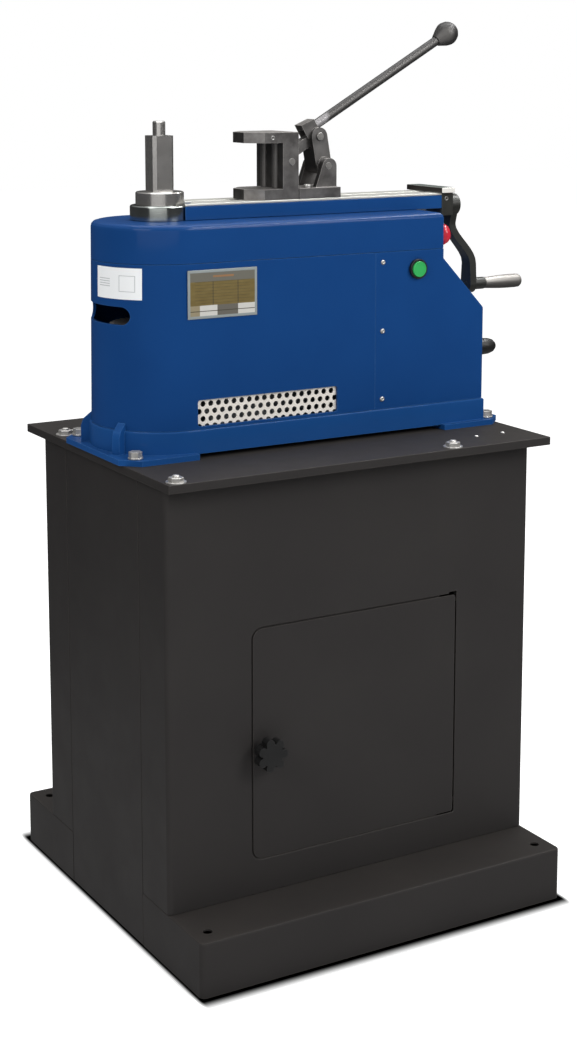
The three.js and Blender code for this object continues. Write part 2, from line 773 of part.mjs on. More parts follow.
function addFrameBolts() {
  let number = 0;
  for (const sx of [-1, 1]) for (const sy of [-1, 1]) {
    number += 1;
    const x = sx * padBoltX;
    const y = sy * padBoltY;
    const seat = padThick + seatGap;
    const bolt = rodZ(x, y, washerRadius, seat, seat + washerThick, roundSides)
      .add(rodZ(x, y, boltHead, seat, seat + washerThick + boltHeadHigh, hexSides))
      .add(rodZ(x, y, boltRadius, 0, seat + washerThick, coarseSides));
    piece(machine, `frame_bolt_${number}`, bolt, zincPlate);
  }
}

function addHousingShell() {
  const foot = bandTop + seatGap;
  const top = seamZ - seatGap;
  const right = coverLeft - seatGap;
  let shell = housingSlab(0, right, foot, top)
    .subtract(housingSlab(-housingWall, right + overrun, foot - overrun, top + overrun));
  const slotShape = roundedRectangle(
    -slotHalfWidth, slotHalfWidth, slotCentre - slotHigh / 2, slotCentre + slotHigh / 2, slotHigh / 2 - weld);
  const endX = spindleX - housingHalf;
  shell = shell.subtract(slabX(slotShape, endX - overrun, endX + slotReach, slotSides));
  const windowShape = roundedRectangle(windowLeft, windowRight, windowFoot, windowTop, windowCorner);
  shell = shell.subtract(slabY(windowShape, -housingHalf - overrun, 0, foldSides));
  piece(machine, "housing_shell", shell, bluePaint);
}

function addGrille() {
  const front = housingWall + seatGap - housingHalf;
  const back = front + grilleThick;
  const foot = bandTop + seatGap * 2;
  const shape = outline([
    [windowLeft - grilleLap, foot], [windowRight + grilleLap, foot],
    [windowRight + grilleLap, windowTop + grilleLap], [windowLeft - grilleLap, windowTop + grilleLap],
  ]);
  const rowRise = grillePitch * Math.sin(Math.PI / 3);
  const rows = Math.floor((windowTop - windowFoot) / rowRise) + 1;
  for (let row = 0; row < rows; row++) {
    const z = windowFoot + grilleHole / 4 + row * rowRise;
    const start = windowLeft + grillePitch / 2 + (row % 2) * (grillePitch / 2);
    for (let x = start; x < windowRight; x += grillePitch) {
      const hole = new THREE.Path();
      for (let side = 0; side < grilleHoleSides; side++) {
        const turn = (2 * Math.PI * side) / grilleHoleSides;
        const across = x + grilleHole * Math.cos(turn);
        const up = z + grilleHole * Math.sin(turn);
        if (side === 0) hole.moveTo(across, up);
        else hole.lineTo(across, up);
      }
      hole.closePath();
      shape.holes.push(hole);
    }
  }
  piece(machine, "vent_grille", slabY(shape, front, back), perforated);
}

function addNameplate() {
  const back = -housingHalf - seatGap;
  const front = back - nameplateThick;
  const plate = box(nameplateLeft, nameplateRight, front, back, nameplateFoot, nameplateTop);
  piece(machine, "nameplate", plate, plateFinish);
}

function addTopCasting() {
  const roof = housingTop - castingTop;
  let casting = housingCrown(0, shoulderX, seamZ, housingTop, topFillet, crownSteps)
    .subtract(housingSlab(-castingWall, shoulderX - castingWall, seamZ - overrun, roof - topFillet / 2))
    .subtract(housingSlab(-topFillet, shoulderX - topFillet, seamZ - overrun, roof));
  const bossRim = bearingOuter + castingWall;
  const bossFoot = roof - bearingLip - bearingHigh;
  casting = casting.add(rodZ(spindleX, 0, bossRim, bossFoot, roof + weld, roundSides));
  const seat = rodZ(
    spindleX, 0, bearingOuter + seatGap, bossFoot - overrun, roof - bearingLip, fineSides);
  const bore = rodZ(spindleX, 0, shaftRadius + 2 * runGap, seamZ, housingTop + overrun);
  casting = casting.subtract(seat).subtract(bore);
  const channelEnd = channelLeft - journalDeep - overrun / 2;
  const channel = box(
    channelEnd, shoulderX + overrun, -channelHalf, channelHalf, roof - overrun, housingTop + overrun);
  const holeStart = shoulderX - castingWall - overrun;
  const stopHole = rodX(stopY, stopZ, barrelRadius + seatGap, holeStart, shoulderX + overrun);
  piece(machine, "top_casting", casting.subtract(channel).subtract(stopHole), bluePaint);
}

// The cover at the crank end slopes down from the shoulder to its full length
function coverOutline(wall, left, foot, top) {
  const fall = (slopeTop - slopeFoot) / (coverRight - shoulderX);
  const drop = wall * Math.hypot(1, fall);
  const right = coverRight - wall;
  const shoulder = shoulderX - wall;
  const slopeAt = (x) => slopeFoot + (coverRight - x) * fall - drop;
  return outline([
    [left, foot], [right, foot], [right, slopeAt(right)],
    [shoulder, slopeAt(shoulder)], [shoulder, top], [left, top],
  ]);
}

function addControlCover() {
  const foot = bandTop + seatGap;
  const top = seamZ - seatGap;
  const plan = housingSlab(0, coverRight, foot, top, coverCorner);
  let cover = slabY(coverOutline(0, coverLeft, foot, top), -housingHalf, housingHalf).intersect(plan);
  const inside = housingHalf - coverWall;
  cover = cover.subtract(
    slabY(coverOutline(coverWall, coverLeft - overrun, foot - overrun, top + overrun), -inside, inside));
  const back = coverWall - housingHalf + overrun;
  cover = cover.subtract(rodY(buttonX, buttonZ, barrelRadius + seatGap, -housingHalf - overrun, back));
  const inlet = glandNeck + seatGap;
  cover = cover.subtract(rodX(glandY, glandZ, inlet, coverRight - coverWall - overrun, coverRight + overrun));
  piece(machine, "control_cover", cover, bluePaint);
}

// Spindle with its square drive, running in two bearings and turned by a gear
function addSpindle() {
  const half = squareSide / 2;
  const nip = half - squareChamfer;
  const square = outline([
    [nip, -half], [half, -nip], [half, nip], [nip, half],
    [-nip, half], [-half, nip], [-half, -nip], [-nip, -half],
  ]);
  const flangeFoot = ringTop + runGap;
  const shaft = solid(turned([
    [0, shaftFoot], [shaftRadius, shaftFoot], [shaftRadius, flangeFoot], [flangeRadius, flangeFoot],
    [flangeRadius, flangeTop - ringChamfer], [flangeRadius - ringChamfer, flangeTop], [0, flangeTop],
  ], fineSides));
  const nose = solid(turned([
    [0, flangeTop], [pinRadius, flangeTop], [pinRadius, pinTop - pinChamfer],
    [pinRadius - pinChamfer, pinTop], [0, pinTop],
  ]));
  const drive = slabZ(square, flangeTop - weld, squareTop);
  const body = shaft.add(drive).add(nose);
  piece(machine, "spindle", body, brightSteel).position.x = spindleX;

  const ring = turned([
    [shaftRadius + runGap, housingTop + seatGap], [ringRadius, housingTop + seatGap],
    [ringRadius, ringTop - ringChamfer], [ringRadius - ringChamfer, ringTop],
    [shaftRadius + runGap, ringTop], [shaftRadius + runGap, housingTop + seatGap],
  ], fineSides);
  piece(machine, "bearing_ring", solid(ring), brightSteel).position.x = spindleX;
  const upperFoot = housingTop - castingTop - bearingLip - bearingHigh;
  const lowerFoot = skirtFoot + frameFloor + seatGap;
  for (const [name, foot] of [["upper_bearing", upperFoot], ["lower_bearing", lowerFoot]]) {
    const top = foot + bearingHigh - seatGap;
    const race = turned([
      [shaftRadius + runGap, foot], [bearingOuter, foot], [bearingOuter, top],
      [shaftRadius + runGap, top], [shaftRadius + runGap, foot],
    ], fineSides);
    piece(machine, name, solid(race), brightSteel).position.x = spindleX;
  }
}

// An involute gear outline, with one tooth centred on the angle phase
function gearOutline(teeth, phase) {
  const pressure = THREE.MathUtils.degToRad(pressureAngle);
  const pitch = (teeth * toothModule) / 2;
  const base = pitch * Math.cos(pressure);
  const tip = pitch + toothModule * addendumShare;
  const root = pitch - toothModule * dedendumShare;
  const involute = (angle) => Math.tan(angle) - angle;
  const halfTooth = Math.PI / (2 * teeth) - backlash / (2 * pitch) + involute(pressure);
  const spread = (radius) => halfTooth - involute(Math.acos(Math.min(1, base / radius)));
  const start = Math.max(base, root);
  const flank = flankShares.map((share) => start + (tip - start) * share);
  const points = [];
  for (let tooth = 0; tooth < teeth; tooth++) {
    const middle = phase + (2 * Math.PI * tooth) / teeth;
    const up = flank.map((radius) => [radius, middle - spread(radius)]);
    const down = flank.map((radius) => [radius, middle + spread(radius)]).reverse();
    const feet = root < start ? [[root, middle - spread(start)], [root, middle + spread(start)]] : [];
    for (const [radius, angle] of [...feet.slice(0, 1), ...up, ...down, ...feet.slice(1)]) {
      points.push([radius * Math.cos(angle), radius * Math.sin(angle)]);
    }
  }
  return outline(points);
}

function addDrive() {
  const gear = slabZ(gearOutline(gearTeeth, 0), gearFoot, gearTop)
    .subtract(rodZ(0, 0, shaftRadius + seatGap, gearFoot - overrun, gearTop + overrun, fineSides));
  piece(machine, "spindle_gear", gear, darkSteel).position.x = spindleX;
  const centres = ((gearTeeth + pinionTeeth) * toothModule) / 2;
  const pinionX = spindleX + centres;
  const shaftFootZ = gearboxTop - pinionShaftDeep;
  const pinion = slabZ(gearOutline(pinionTeeth, Math.PI / pinionTeeth), gearFoot, gearTop)
    .add(rodZ(0, 0, pinionShaft, shaftFootZ + runGap, pinionShaftTop));
  piece(machine, "drive_pinion", pinion, darkSteel).position.x = pinionX;
  const floor = skirtFoot + frameFloor + seatGap;
  const caseShape = roundedRectangle(gearboxLeft, gearboxRight, floor, gearboxTop, gearboxCorner);
  const gearcase = slabY(caseShape, -gearboxHalf, gearboxHalf, foldSides)
    .subtract(rodZ(pinionX, 0, pinionShaft + runGap, shaftFootZ, gearboxTop + overrun));
  piece(machine, "gearbox_case", gearcase, castGrey);

  const flangeLeft = gearboxRight + seatGap;
  const finShape = new THREE.Shape();
  for (let fin = 0; fin < motorFins; fin++) {
    const turns = finShares.map((share) => (2 * Math.PI * (fin + share)) / motorFins);
    const radii = [motorCore, motorCore, motorCore + motorFin, motorCore + motorFin];
    turns.forEach((turn, index) => {
      const y = radii[index] * Math.cos(turn);
      const z = motorAxis + radii[index] * Math.sin(turn);
      if (fin === 0 && index === 0) finShape.moveTo(y, z);
      else finShape.lineTo(y, z);
    });
  }
  finShape.closePath();
  const motor = rodX(0, motorAxis, motorFlange, flangeLeft, flangeLeft + motorFlangeThick)
    .add(slabX(finShape, flangeLeft, motorRight))
    .add(box(motorFootLeft, motorFootRight, -motorFootHalf, motorFootHalf, floor, motorAxis));
  piece(machine, "motor_case", motor, castGrey);
  const fanLeft = motorRight + seatGap;
  const fan = turned([[0, fanLeft], [fanRadius, fanLeft], [fanRadius, fanRight - fanCone],
    [fanRadius - fanCone, fanRight], [0, fanRight]]);
  piece(machine, "fan_cover", solid(laidX(fan, 0, 0, motorAxis)), blackPlastic);
}

// Slide: a hollow-ended rail with two steel strips, a screw between them and its end bearing
function addSlide() {
  const railFoot = housingTop + seatGap;
  const reliefTop = railTop + stripThick + overrun;
  const relief = rodZ(
    spindleX, 0, ringRadius + railRelief, railFoot - overrun, reliefTop, fineSides);
  const channel = box(
    channelLeft, railRight + overrun, -channelHalf, channelHalf, railFoot - overrun, railTop + overrun);
  const rail = box(spindleX, railRight, -railHalf, railHalf, railFoot, railTop)
    .subtract(relief)
    .subtract(channel)
    .subtract(rodX(0, screwAxis, journalRadius + runGap, channelLeft - journalDeep, channelLeft + overrun));
  piece(machine, "slideway", rail, bluePaint);
  const stripFoot = railTop + seatGap;
  for (const [name, side] of [["slide_strip_front", -1], ["slide_strip_back", 1]]) {
    const ys = [side * stripSlotHalf, side * railHalf].sort((a, b) => a - b);
    const strip = box(spindleX, railRight, ys[0], ys[1], stripFoot, stripFoot + stripThick).subtract(relief);
    piece(machine, name, strip, brightSteel);
  }
  const screwFoot = channelLeft - journalDeep + seatGap;
  const shoulderLeft = channelLeft + seatGap;
  const shoulderRight = railRight - seatGap;
  const thrustLeft = endBlockRight + runGap;
  const screw = rodX(0, screwAxis, journalRadius, screwFoot, screwEnd)
    .add(rodX(0, screwAxis, screwRadius, shoulderLeft, shoulderRight))
    .add(rodX(0, screwAxis, thrustRadius, thrustLeft, endBlockRight + thrustThick));
  piece(machine, "leadscrew", screw, brightSteel);
  const blockLeft = railRight + seatGap;
  const blockTop = railTop + stripThick;
  const block = box(blockLeft, endBlockRight, -railHalf, railHalf, endBlockFoot, blockTop)
    .subtract(rodX(0, screwAxis, journalRadius + runGap, blockLeft - overrun, endBlockRight + overrun));
  piece(machine, "end_bearing_block", block, darkSteel);
  const plateFoot = blockTop + 2 * seatGap;
  const plateTop = plateFoot + endPlateThick;
  const plate = box(endPlateLeft, endPlateRight, -endPlateHalf, endPlateHalf, plateFoot, plateTop);
  piece(machine, "end_plate", plate, darkSteel);
}

// Crank: an arm that steps outwards, seen from the front as an S, and a grip that turns on its pin
function addCrank() {
  const gripZ = screwAxis - crankRadius;
  const bendTop = screwAxis - armBendTop;
  const bendFoot = screwAxis - armBendFoot;
  const left = [];
  const right = [];
  for (let step = 0; step <= armSteps; step++) {
    const share = step / armSteps;
    const ease = share * share * (3 - 2 * share);
    const x = armTopX + (armFootX - armTopX) * ease;
    const z = bendTop + (bendFoot - bendTop) * share;
    const lean = Math.atan((6 * share * (1 - share) * (armFootX - armTopX)) / (bendTop - bendFoot));
    const wide = armThick / (2 * Math.cos(lean));
    left.push([x - wide, z]);
    right.push([x + wide, z]);
  }
  const top = screwAxis + hubRadius + overrun;
  const foot = gripZ - armEndHalf - overrun;
  const half = armThick / 2;
  const sideView = outline([
    [armTopX - half, top], ...left, [armFootX - half, foot], [armFootX + half, foot],
    ...right.reverse(), [armTopX + half, top],
  ]);
  const broad = armHubHalf + overrun;
  const waistZ = screwAxis - armWaistDrop;
  const faceLeft = armTopX - armThick;
  const faceRight = armFootX + armThick;
  const hubFace = strap(0, screwAxis, armHubHalf, 0, waistZ, armWaistHalf);
  const endFace = strap(0, waistZ, armWaistHalf, 0, gripZ, armEndHalf);
  const face = slabX(hubFace, faceLeft, faceRight, eyeSides)
    .add(slabX(endFace, faceLeft, faceRight, eyeSides));
  const arm = slabY(sideView, -broad, broad)
    .intersect(face)
    .add(rodX(0, screwAxis, hubRadius, hubLeft, hubRight))
    .subtract(rodX(0, screwAxis, journalRadius + pinGap, hubLeft - overrun, screwEnd + seatGap))
    .subtract(rodX(0, gripZ, gripPin + pinGap, armFootX - armThick, faceRight, coarseSides));
  piece(machine, "crank_arm", arm, darkSteel);
  const collarLeft = armFootX + half + seatGap;
  const pin = rodX(0, gripZ, gripPin, armFootX - half, gripRight - gripPinShort, coarseSides)
    .add(rodX(0, gripZ, gripCollar, collarLeft, gripLeft - runGap, coarseSides));
  piece(machine, "grip_pin", pin, brightSteel);
  const length = gripRight - gripLeft;
  const profile = [];
  for (let step = 0; step <= gripSteps; step++) {
    const share = step / gripSteps;
    const swell = Math.sin(Math.min(1, share / gripSwellShare) * Math.PI / 2);
    profile.push([gripNeck + (gripRadius - gripNeck) * swell, share * length * gripSwellEndShare]);
  }
  const roundEnd = gripEndShares.map(([across, along]) => [gripRadius * across, length * along]);
  const bore = gripPin + runGap;
  const grip = turned([
    [0, length], ...roundEnd, ...profile.reverse(),
    [bore, 0], [bore, length - gripPinShort + runGap], [0, length - gripPinShort + runGap],
  ].reverse(), barSides);
  piece(machine, "crank_grip", solid(laidX(grip, gripLeft, 0, gripZ)), brightSteel);
}

// Vice: the carriage slides on the strips, and carries the lever's ears
const stripTop = railTop + seatGap + stripThick;
const carriageFoot = stripTop + runGap;
const carriageTop = carriageFoot + carriageThick;

function addCarriage() {
  const earShape = new THREE.Shape();
  earShape.moveTo(earLeft, carriageTop - weld);
  earShape.lineTo(carriageRight, carriageTop - weld);
  const sweep = THREE.MathUtils.degToRad(earSweep);
  earShape.absarc(carriageRight - earRadius, pivotZ - leverPinProud, earRadius, 0, sweep);
  earShape.closePath();
  let carriage = box(carriageLeft, carriageRight, -railHalf, railHalf, carriageFoot, carriageTop);
  for (const side of [-1, 1]) {
    const ys = [side * (earHalf - earThick), side * earHalf].sort((a, b) => a - b);
    carriage = carriage.add(slabY(earShape, ys[0], ys[1], eyeSides));
  }
  carriage = carriage.subtract(rodY(pivotX, pivotZ, leverPinRadius + pinGap, -railHalf, railHalf));
  piece(machine, "carriage", carriage, darkSteel);
  const tongueHalf = stripSlotHalf - runGap;
  const tongueTop = carriageFoot - seatGap;
  const nut = box(tongueLeft, tongueRight, -nutHalf, nutHalf, nutFoot, nutTop)
    .add(box(tongueLeft, tongueRight, -tongueHalf, tongueHalf, nutTop - weld, tongueTop))
    .subtract(rodX(0, screwAxis, screwRadius + runGap, tongueLeft - overrun, tongueRight + overrun));
  piece(machine, "leadscrew_nut", nut, darkSteel);
  const pinEnd = earHalf + leverPinProud;
  piece(machine, "lever_pivot_pin", rodY(pivotX, pivotZ, leverPinRadius, -pinEnd, pinEnd), brightSteel);
}

function addDieHolder() {
  const plan = outline([
    [holderRight, -holderHalf], [holderRight, holderHalf], [holderShoulder, holderHalf],
    [holderTip, holderTipHalf], [holderTip, -holderTipHalf], [holderShoulder, -holderHalf],
  ]);
  const lowerTop = carriageFoot + armHigh;
  const upperFoot = holderTop - armHigh;
  let holder = slabZ(plan, carriageFoot, holderTop)
    .subtract(box(holderTip - overrun, webLeft, -railHalf - overrun, railHalf + overrun, lowerTop, upperFoot))
    .subtract(box(
      linkPinX - linkSlotDeep, holderRight + overrun, -forkHalf, forkHalf,
      linkPinZ - linkSlotBelow, linkPinZ + linkSlotAbove))
    .subtract(rodY(linkPinX, linkPinZ, linkPinRadius + pinGap, -railHalf - overrun, railHalf + overrun));
  const tongueHalf = stripSlotHalf - runGap;
  holder = holder.add(box(
    holderTongueLeft, holderRight, -tongueHalf, tongueHalf, holderTongueFoot, carriageFoot + weld));
  for (const [name, side] of [["jaw_bar_front", -1], ["jaw_bar_back", 1]]) {
    const x = webLeft + jawBarSink;
    const y = side * jawBarOffset;
    holder = holder.subtract(rodZ(x, y, jawBarRadius + seatGap, lowerTop, upperFoot, coarseSides));
    const bar = rodZ(x, y, jawBarRadius, lowerTop + seatGap, upperFoot - seatGap, coarseSides);
    piece(machine, name, bar, brightSteel);
  }
  piece(machine, "die_holder", holder, darkSteel);
  const pinEnd = holderHalf + leverPinProud;
  piece(machine, "link_pin", rodY(linkPinX, linkPinZ, linkPinRadius, -pinEnd, pinEnd), brightSteel);
}

// Places along the clamp bar are measured from the middle of the lever's head
function alongBar(geometry) {
  return geometry.rotateY(Math.PI / 2 - THREE.MathUtils.degToRad(barAngle)).translate(headX, 0, headZ);
}

function addClampLever() {
  const lean = THREE.MathUtils.degToRad(barAngle);
  const half = headLong / 2;
  const corners = [
    [-half, -headBelow], [half, -headBelow], [half, headAbove], [-half, headAbove + headRise],
  ].map(([along, across]) => [
    headX + along * Math.cos(lean) - across * Math.sin(lean),
    headZ + along * Math.sin(lean) + across * Math.cos(lean),
  ]);
  const socketRadius = studRadius + pinGap;
  const clearRadius = barRadius + seatGap;
  const socket = solid(alongBar(turned([
    [0, studStart - pinGap], [socketRadius, studStart - pinGap], [socketRadius, half],
    [clearRadius, half], [clearRadius, headLong], [0, headLong],
  ], barSides)));
  const cheeks = strap(pivotX, pivotZ, bossRadius, bossX, bossZ, bossRadius);
  const lever = slabY(cheeks, -cheekHalf, cheekHalf, eyeSides)
    .add(slabY(outline(corners), -headHalf, headHalf))
    .add(rodY(pivotX, pivotZ, bossRadius, -leverHubHalf, leverHubHalf))
    .subtract(box(holderTip, bossX + forkBehind, -forkHalf, forkHalf, bossZ - forkBelow, bossZ + forkAbove))
    .subtract(rodY(pivotX, pivotZ, leverPinRadius + pinGap, -railHalf, railHalf))
    .subtract(rodY(bossX, bossZ, bossPinRadius + pinGap, -railHalf, railHalf))
    .subtract(socket);
  piece(machine, "clamp_lever", lever, darkSteel);
  const headStart = cheekHalf + seatGap;
  const pinEnd = headStart + bossPinProud;
  const bossPin = rodY(bossX, bossZ, bossPinRadius, -pinEnd, pinEnd)
    .add(rodY(bossX, bossZ, bossPinHead, -pinEnd, -headStart))
    .add(rodY(bossX, bossZ, bossPinHead, headStart, pinEnd));
  piece(machine, "boss_pin", bossPin, brightSteel);
  const linkShape = strap(linkPinX, linkPinZ, linkEyeHolder, bossX, bossZ, linkEyeLever);
  const link = slabY(linkShape, -linkHalf, linkHalf, eyeSides)
    .subtract(rodY(linkPinX, linkPinZ, linkPinRadius + linkPlay, -railHalf, railHalf))
    .subtract(rodY(bossX, bossZ, bossPinRadius + pinGap, -railHalf, railHalf));
  piece(machine, "toggle_link", link, darkSteel);

  const barStart = half + seatGap;
  const bar = turned([
    [0, studStart], [studRadius, studStart], [studRadius, barStart],
    [barRadius, barStart], [barRadius, barEnd], [0, barEnd],
  ], barSides);
  piece(machine, "clamp_bar", solid(alongBar(bar)), darkSteel);
  const knobBore = barRadius + pinGap;
  const profile = [
    [0, barEnd + seatGap], [knobBore, barEnd + seatGap], [knobBore, barKnobFoot],
    [barKnobNeck, barKnobFoot],
  ];
  const from = THREE.MathUtils.degToRad(barKnobArcStart);
  for (let step = 0; step < barKnobSteps; step++) {
    const turn = from + (Math.PI / 2 - from) * (step / barKnobSteps);
    profile.push([barKnobRadius * Math.cos(turn), barKnobCentre + barKnobRadius * Math.sin(turn)]);
  }
  profile.push([0, barKnobCentre + barKnobRadius]);
  piece(machine, "clamp_knob", solid(alongBar(turned(profile, barSides))), darkSteel);
}

// Start button in the cover's face and stop button in the end wall, each a head on a stem
function addControls() {
  const face = -housingHalf;
  const bezelFront = face - seatGap - bezelProud;
  const cupFloor = bezelFront + bezelCupDeep;
  const boreEnd = face + stemDeep + buttonTravel + runGap;
  const bezel = rodY(buttonX, buttonZ, bezelRadius, bezelFront, face - seatGap)
    .add(rodY(buttonX, buttonZ, barrelRadius, face - seatGap - weld, face + barrelDeep))
    .subtract(rodY(buttonX, buttonZ, bezelCup, bezelFront - overrun, cupFloor))
    .subtract(rodY(buttonX, buttonZ, stemRadius + runGap, cupFloor - weld, boreEnd, coarseSides));
  piece(machine, "start_bezel", bezel, blackPlastic);
  const headBack = cupFloor - buttonTravel - runGap;
  const button = rodY(buttonX, buttonZ, buttonRadius, headBack - buttonHigh, headBack, roundSides)
    .add(rodY(buttonX, buttonZ, stemRadius, headBack - weld, face + stemDeep, coarseSides));
  piece(machine, "start_button", button, greenPlastic);

  const wall = shoulderX;
  const collarRight = wall + seatGap + bezelProud;
  const boreStart = wall - stemDeep - stopTravel - runGap;
  const collar = rodX(stopY, stopZ, bezelRadius, wall + seatGap, collarRight)
    .add(rodX(stopY, stopZ, barrelRadius, wall - barrelDeep, wall + seatGap + weld))
    .subtract(rodX(stopY, stopZ, stemRadius + runGap, boreStart, collarRight + overrun, coarseSides));
  piece(machine, "stop_collar", collar, blackPlastic);
  const headLeft = collarRight + stopTravel + runGap;
  const cap = stopShares.map(([across, along]) => [stopRadius * across, stopHigh * along]);
  const dome = turned([[0, 0], ...cap, [0, stopHigh]]);
  const stop = solid(laidX(dome, headLeft, stopY, stopZ))
    .add(rodX(stopY, stopZ, stemRadius, wall - stemDeep, headLeft + weld, coarseSides));
  piece(machine, "stop_button", stop, redPlastic);
}

// Gland: a hexagon against the cover, a domed nut in front of it and a neck through the wall
function addGland() {
  const seat = coverRight + seatGap;
  const nutLeft = seat + glandHexThick;
  const tip = coverRight + glandReach;
  const long = tip - nutLeft;
  const round = glandShares.map(([across, along]) => [glandNut * across, long * along]);
  const nut = turned([[0, -weld], [glandNut, -weld], ...round, [0, long]]);
  const neckLeft = coverRight - coverWall - overrun;
  const gland = rodX(glandY, glandZ, glandHex, seat, nutLeft, hexSides)
    .add(solid(laidX(nut, nutLeft, glandY, glandZ)))
    .add(rodX(glandY, glandZ, glandNeck, neckLeft, seat + weld))
    .subtract(rodX(glandY, glandZ, glandBore, coverRight, tip + overrun, coarseSides));
  piece(machine, "cable_gland", gland, blackPlastic);
}

addStandBody();
addDoor();
addBaseFrame();
addFrameBolts();
addHousingShell();
addGrille();
addNameplate();
addTopCasting();
addControlCover();
addSpindle();
addDrive();
addSlide();
addCrank();
addCarriage();
addDieHolder();
addClampLever();
addControls();
addGland();

export default group;
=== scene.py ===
import math
import bpy
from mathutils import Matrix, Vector


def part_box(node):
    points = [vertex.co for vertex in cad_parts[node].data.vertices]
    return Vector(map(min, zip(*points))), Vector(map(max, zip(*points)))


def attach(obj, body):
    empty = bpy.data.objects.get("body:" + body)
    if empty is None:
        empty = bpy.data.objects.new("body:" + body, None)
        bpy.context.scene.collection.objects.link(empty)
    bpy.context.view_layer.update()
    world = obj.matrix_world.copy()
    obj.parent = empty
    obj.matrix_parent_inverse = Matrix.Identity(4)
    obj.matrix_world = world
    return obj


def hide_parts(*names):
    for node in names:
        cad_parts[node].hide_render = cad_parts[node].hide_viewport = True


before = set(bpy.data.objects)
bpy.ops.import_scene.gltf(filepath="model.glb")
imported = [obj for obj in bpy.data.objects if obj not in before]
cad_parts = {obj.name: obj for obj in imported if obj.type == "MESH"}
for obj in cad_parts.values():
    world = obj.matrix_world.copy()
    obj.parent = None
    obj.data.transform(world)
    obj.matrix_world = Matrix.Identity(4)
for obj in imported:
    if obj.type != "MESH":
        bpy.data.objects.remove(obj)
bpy.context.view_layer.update()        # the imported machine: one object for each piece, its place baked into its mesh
print("frame loaded:", len(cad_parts), "pieces")

mm = 0.001               # places are in metres; profiles, the grille and the thread are in millimetres


# Small makers that the rest uses

def screenColour(channels):
    # a colour picked on screen, 0 to 255, taken off the sRGB curve as the shader wants it
    parts = [channel / 255 for channel in channels]
    straight = [part / 12.92 if part <= 0.04045 else ((part + 0.055) / 1.055) ** 2.4 for part in parts]
    return (*straight, 1)


def put(tree, kind, inputs=None, **settings):
    # adds a shader node; an input takes a value or another node's socket
    made = tree.nodes.new("ShaderNode" + kind)
    for name, value in settings.items():
        setattr(made, name, value)
    for name, value in (inputs or {}).items():
        if isinstance(value, bpy.types.NodeSocket):
            tree.links.new(value, made.inputs[name])
        else:
            made.inputs[name].default_value = value
    return made


def maths(tree, operation, first, second=0.0, third=0.0, clamp=False):
    made = put(tree, "Math", {0: first, 1: second, 2: third}, operation=operation)
    made.use_clamp = clamp
    return made.outputs[0]


def times(tree, first, second):
    return maths(tree, "MULTIPLY", first, second)


def vectors(tree, operation, first, second=(0, 0, 0)):
    made = put(tree, "VectorMath", {0: first, 1: second}, operation=operation)
    return made.outputs["Value" if operation in ("DOT_PRODUCT", "LENGTH") else "Vector"]


def ramp(tree, value, low, high, start=0.0, end=1.0, **settings):
    # runs from start to end while the value goes from low to high
    return put(tree, "MapRange", {0: value, 1: low, 2: high, 3: start, 4: end}, **settings).outputs[0]


def band(tree, value, low, high):
    # 1 between low and high
    return times(tree, maths(tree, "GREATER_THAN", value, low), maths(tree, "LESS_THAN", value, high))


def mixColour(tree, factor, first, second):
    # each side is a socket or a colour picked on screen; 6 and 7 are the node's colour inputs
    sides = [screenColour(side) if isinstance(side, tuple) else side for side in (first, second)]
    return put(tree, "Mix", {0: factor, 6: sides[0], 7: sides[1]}, data_type="RGBA").outputs[2]


def mixValue(tree, factor, first, second):
    # 2 and 3 are the node's number inputs
    return put(tree, "Mix", {0: factor, 2: first, 3: second}).outputs[0]


# Shared surface effects, as shader groups

def newGroup(name, inputs, output):
    group = bpy.data.node_groups.new(name, "ShaderNodeTree")
    for label, kind, value in inputs:
        socket = group.interface.new_socket(name=label, in_out="INPUT", socket_type="NodeSocket" + kind)
        socket.default_value = value
    group.interface.new_socket(name=output, in_out="OUTPUT", socket_type="NodeSocketFloat")
    taken = group.nodes.new("NodeGroupInput").outputs
    given = group.nodes.new("NodeGroupOutput").inputs[output]
    return group, taken, given


def buildEdgeWearAndSheen():
    # where an edge is near: compares the rounded normal with the true one, thinned a little by noise;
    # finishes lighten there for wear, and the blue paint also as a painted highlight
    edge = {"samples": 4, "gain": 5.0, "detail": 3.0, "contrast": 2.2, "lift": 0.5}
    inputs = [("Radius", "Float", 0.001), ("Breakup", "Float", 220.0), ("Amount", "Float", 1.0)]
    group, taken, given = newGroup("edgeWearAndSheen", inputs, "Mask")
    rounded = put(group, "Bevel", {"Radius": taken["Radius"]}, samples=edge["samples"]).outputs[0]
    alike = vectors(group, "DOT_PRODUCT", rounded, put(group, "NewGeometry").outputs["True Normal"])
    turned = maths(group, "MULTIPLY", maths(group, "SUBTRACT", 1.0, alike), edge["gain"], clamp=True)
    place = put(group, "TexCoord").outputs["Object"]
    noise = put(group, "TexNoise", {"Vector": place, "Scale": taken["Breakup"], "Detail": edge["detail"]})
    broken = maths(group, "MULTIPLY_ADD", noise.outputs["Fac"], edge["contrast"], edge["lift"], clamp=True)
    wornAndSheen = times(group, turned, broken)
    group.links.new(maths(group, "MULTIPLY", wornAndSheen, taken["Amount"], clamp=True), given)
    return group


def buildGrain():
    # noise in the piece's own space, which can be drawn out along an axis
    inputs = [("Stretch", "Vector", (1, 1, 1)), ("Scale", "Float", 100.0), ("Detail", "Float", 2.0)]
    group, taken, given = newGroup("surfaceGrain", inputs, "Value")
    drawn = vectors(group, "MULTIPLY", put(group, "TexCoord").outputs["Object"], taken["Stretch"])
    noise = put(group, "TexNoise", {"Vector": drawn, "Scale": taken["Scale"], "Detail": taken["Detail"]})
    group.links.new(noise.outputs["Fac"], given)
    return group


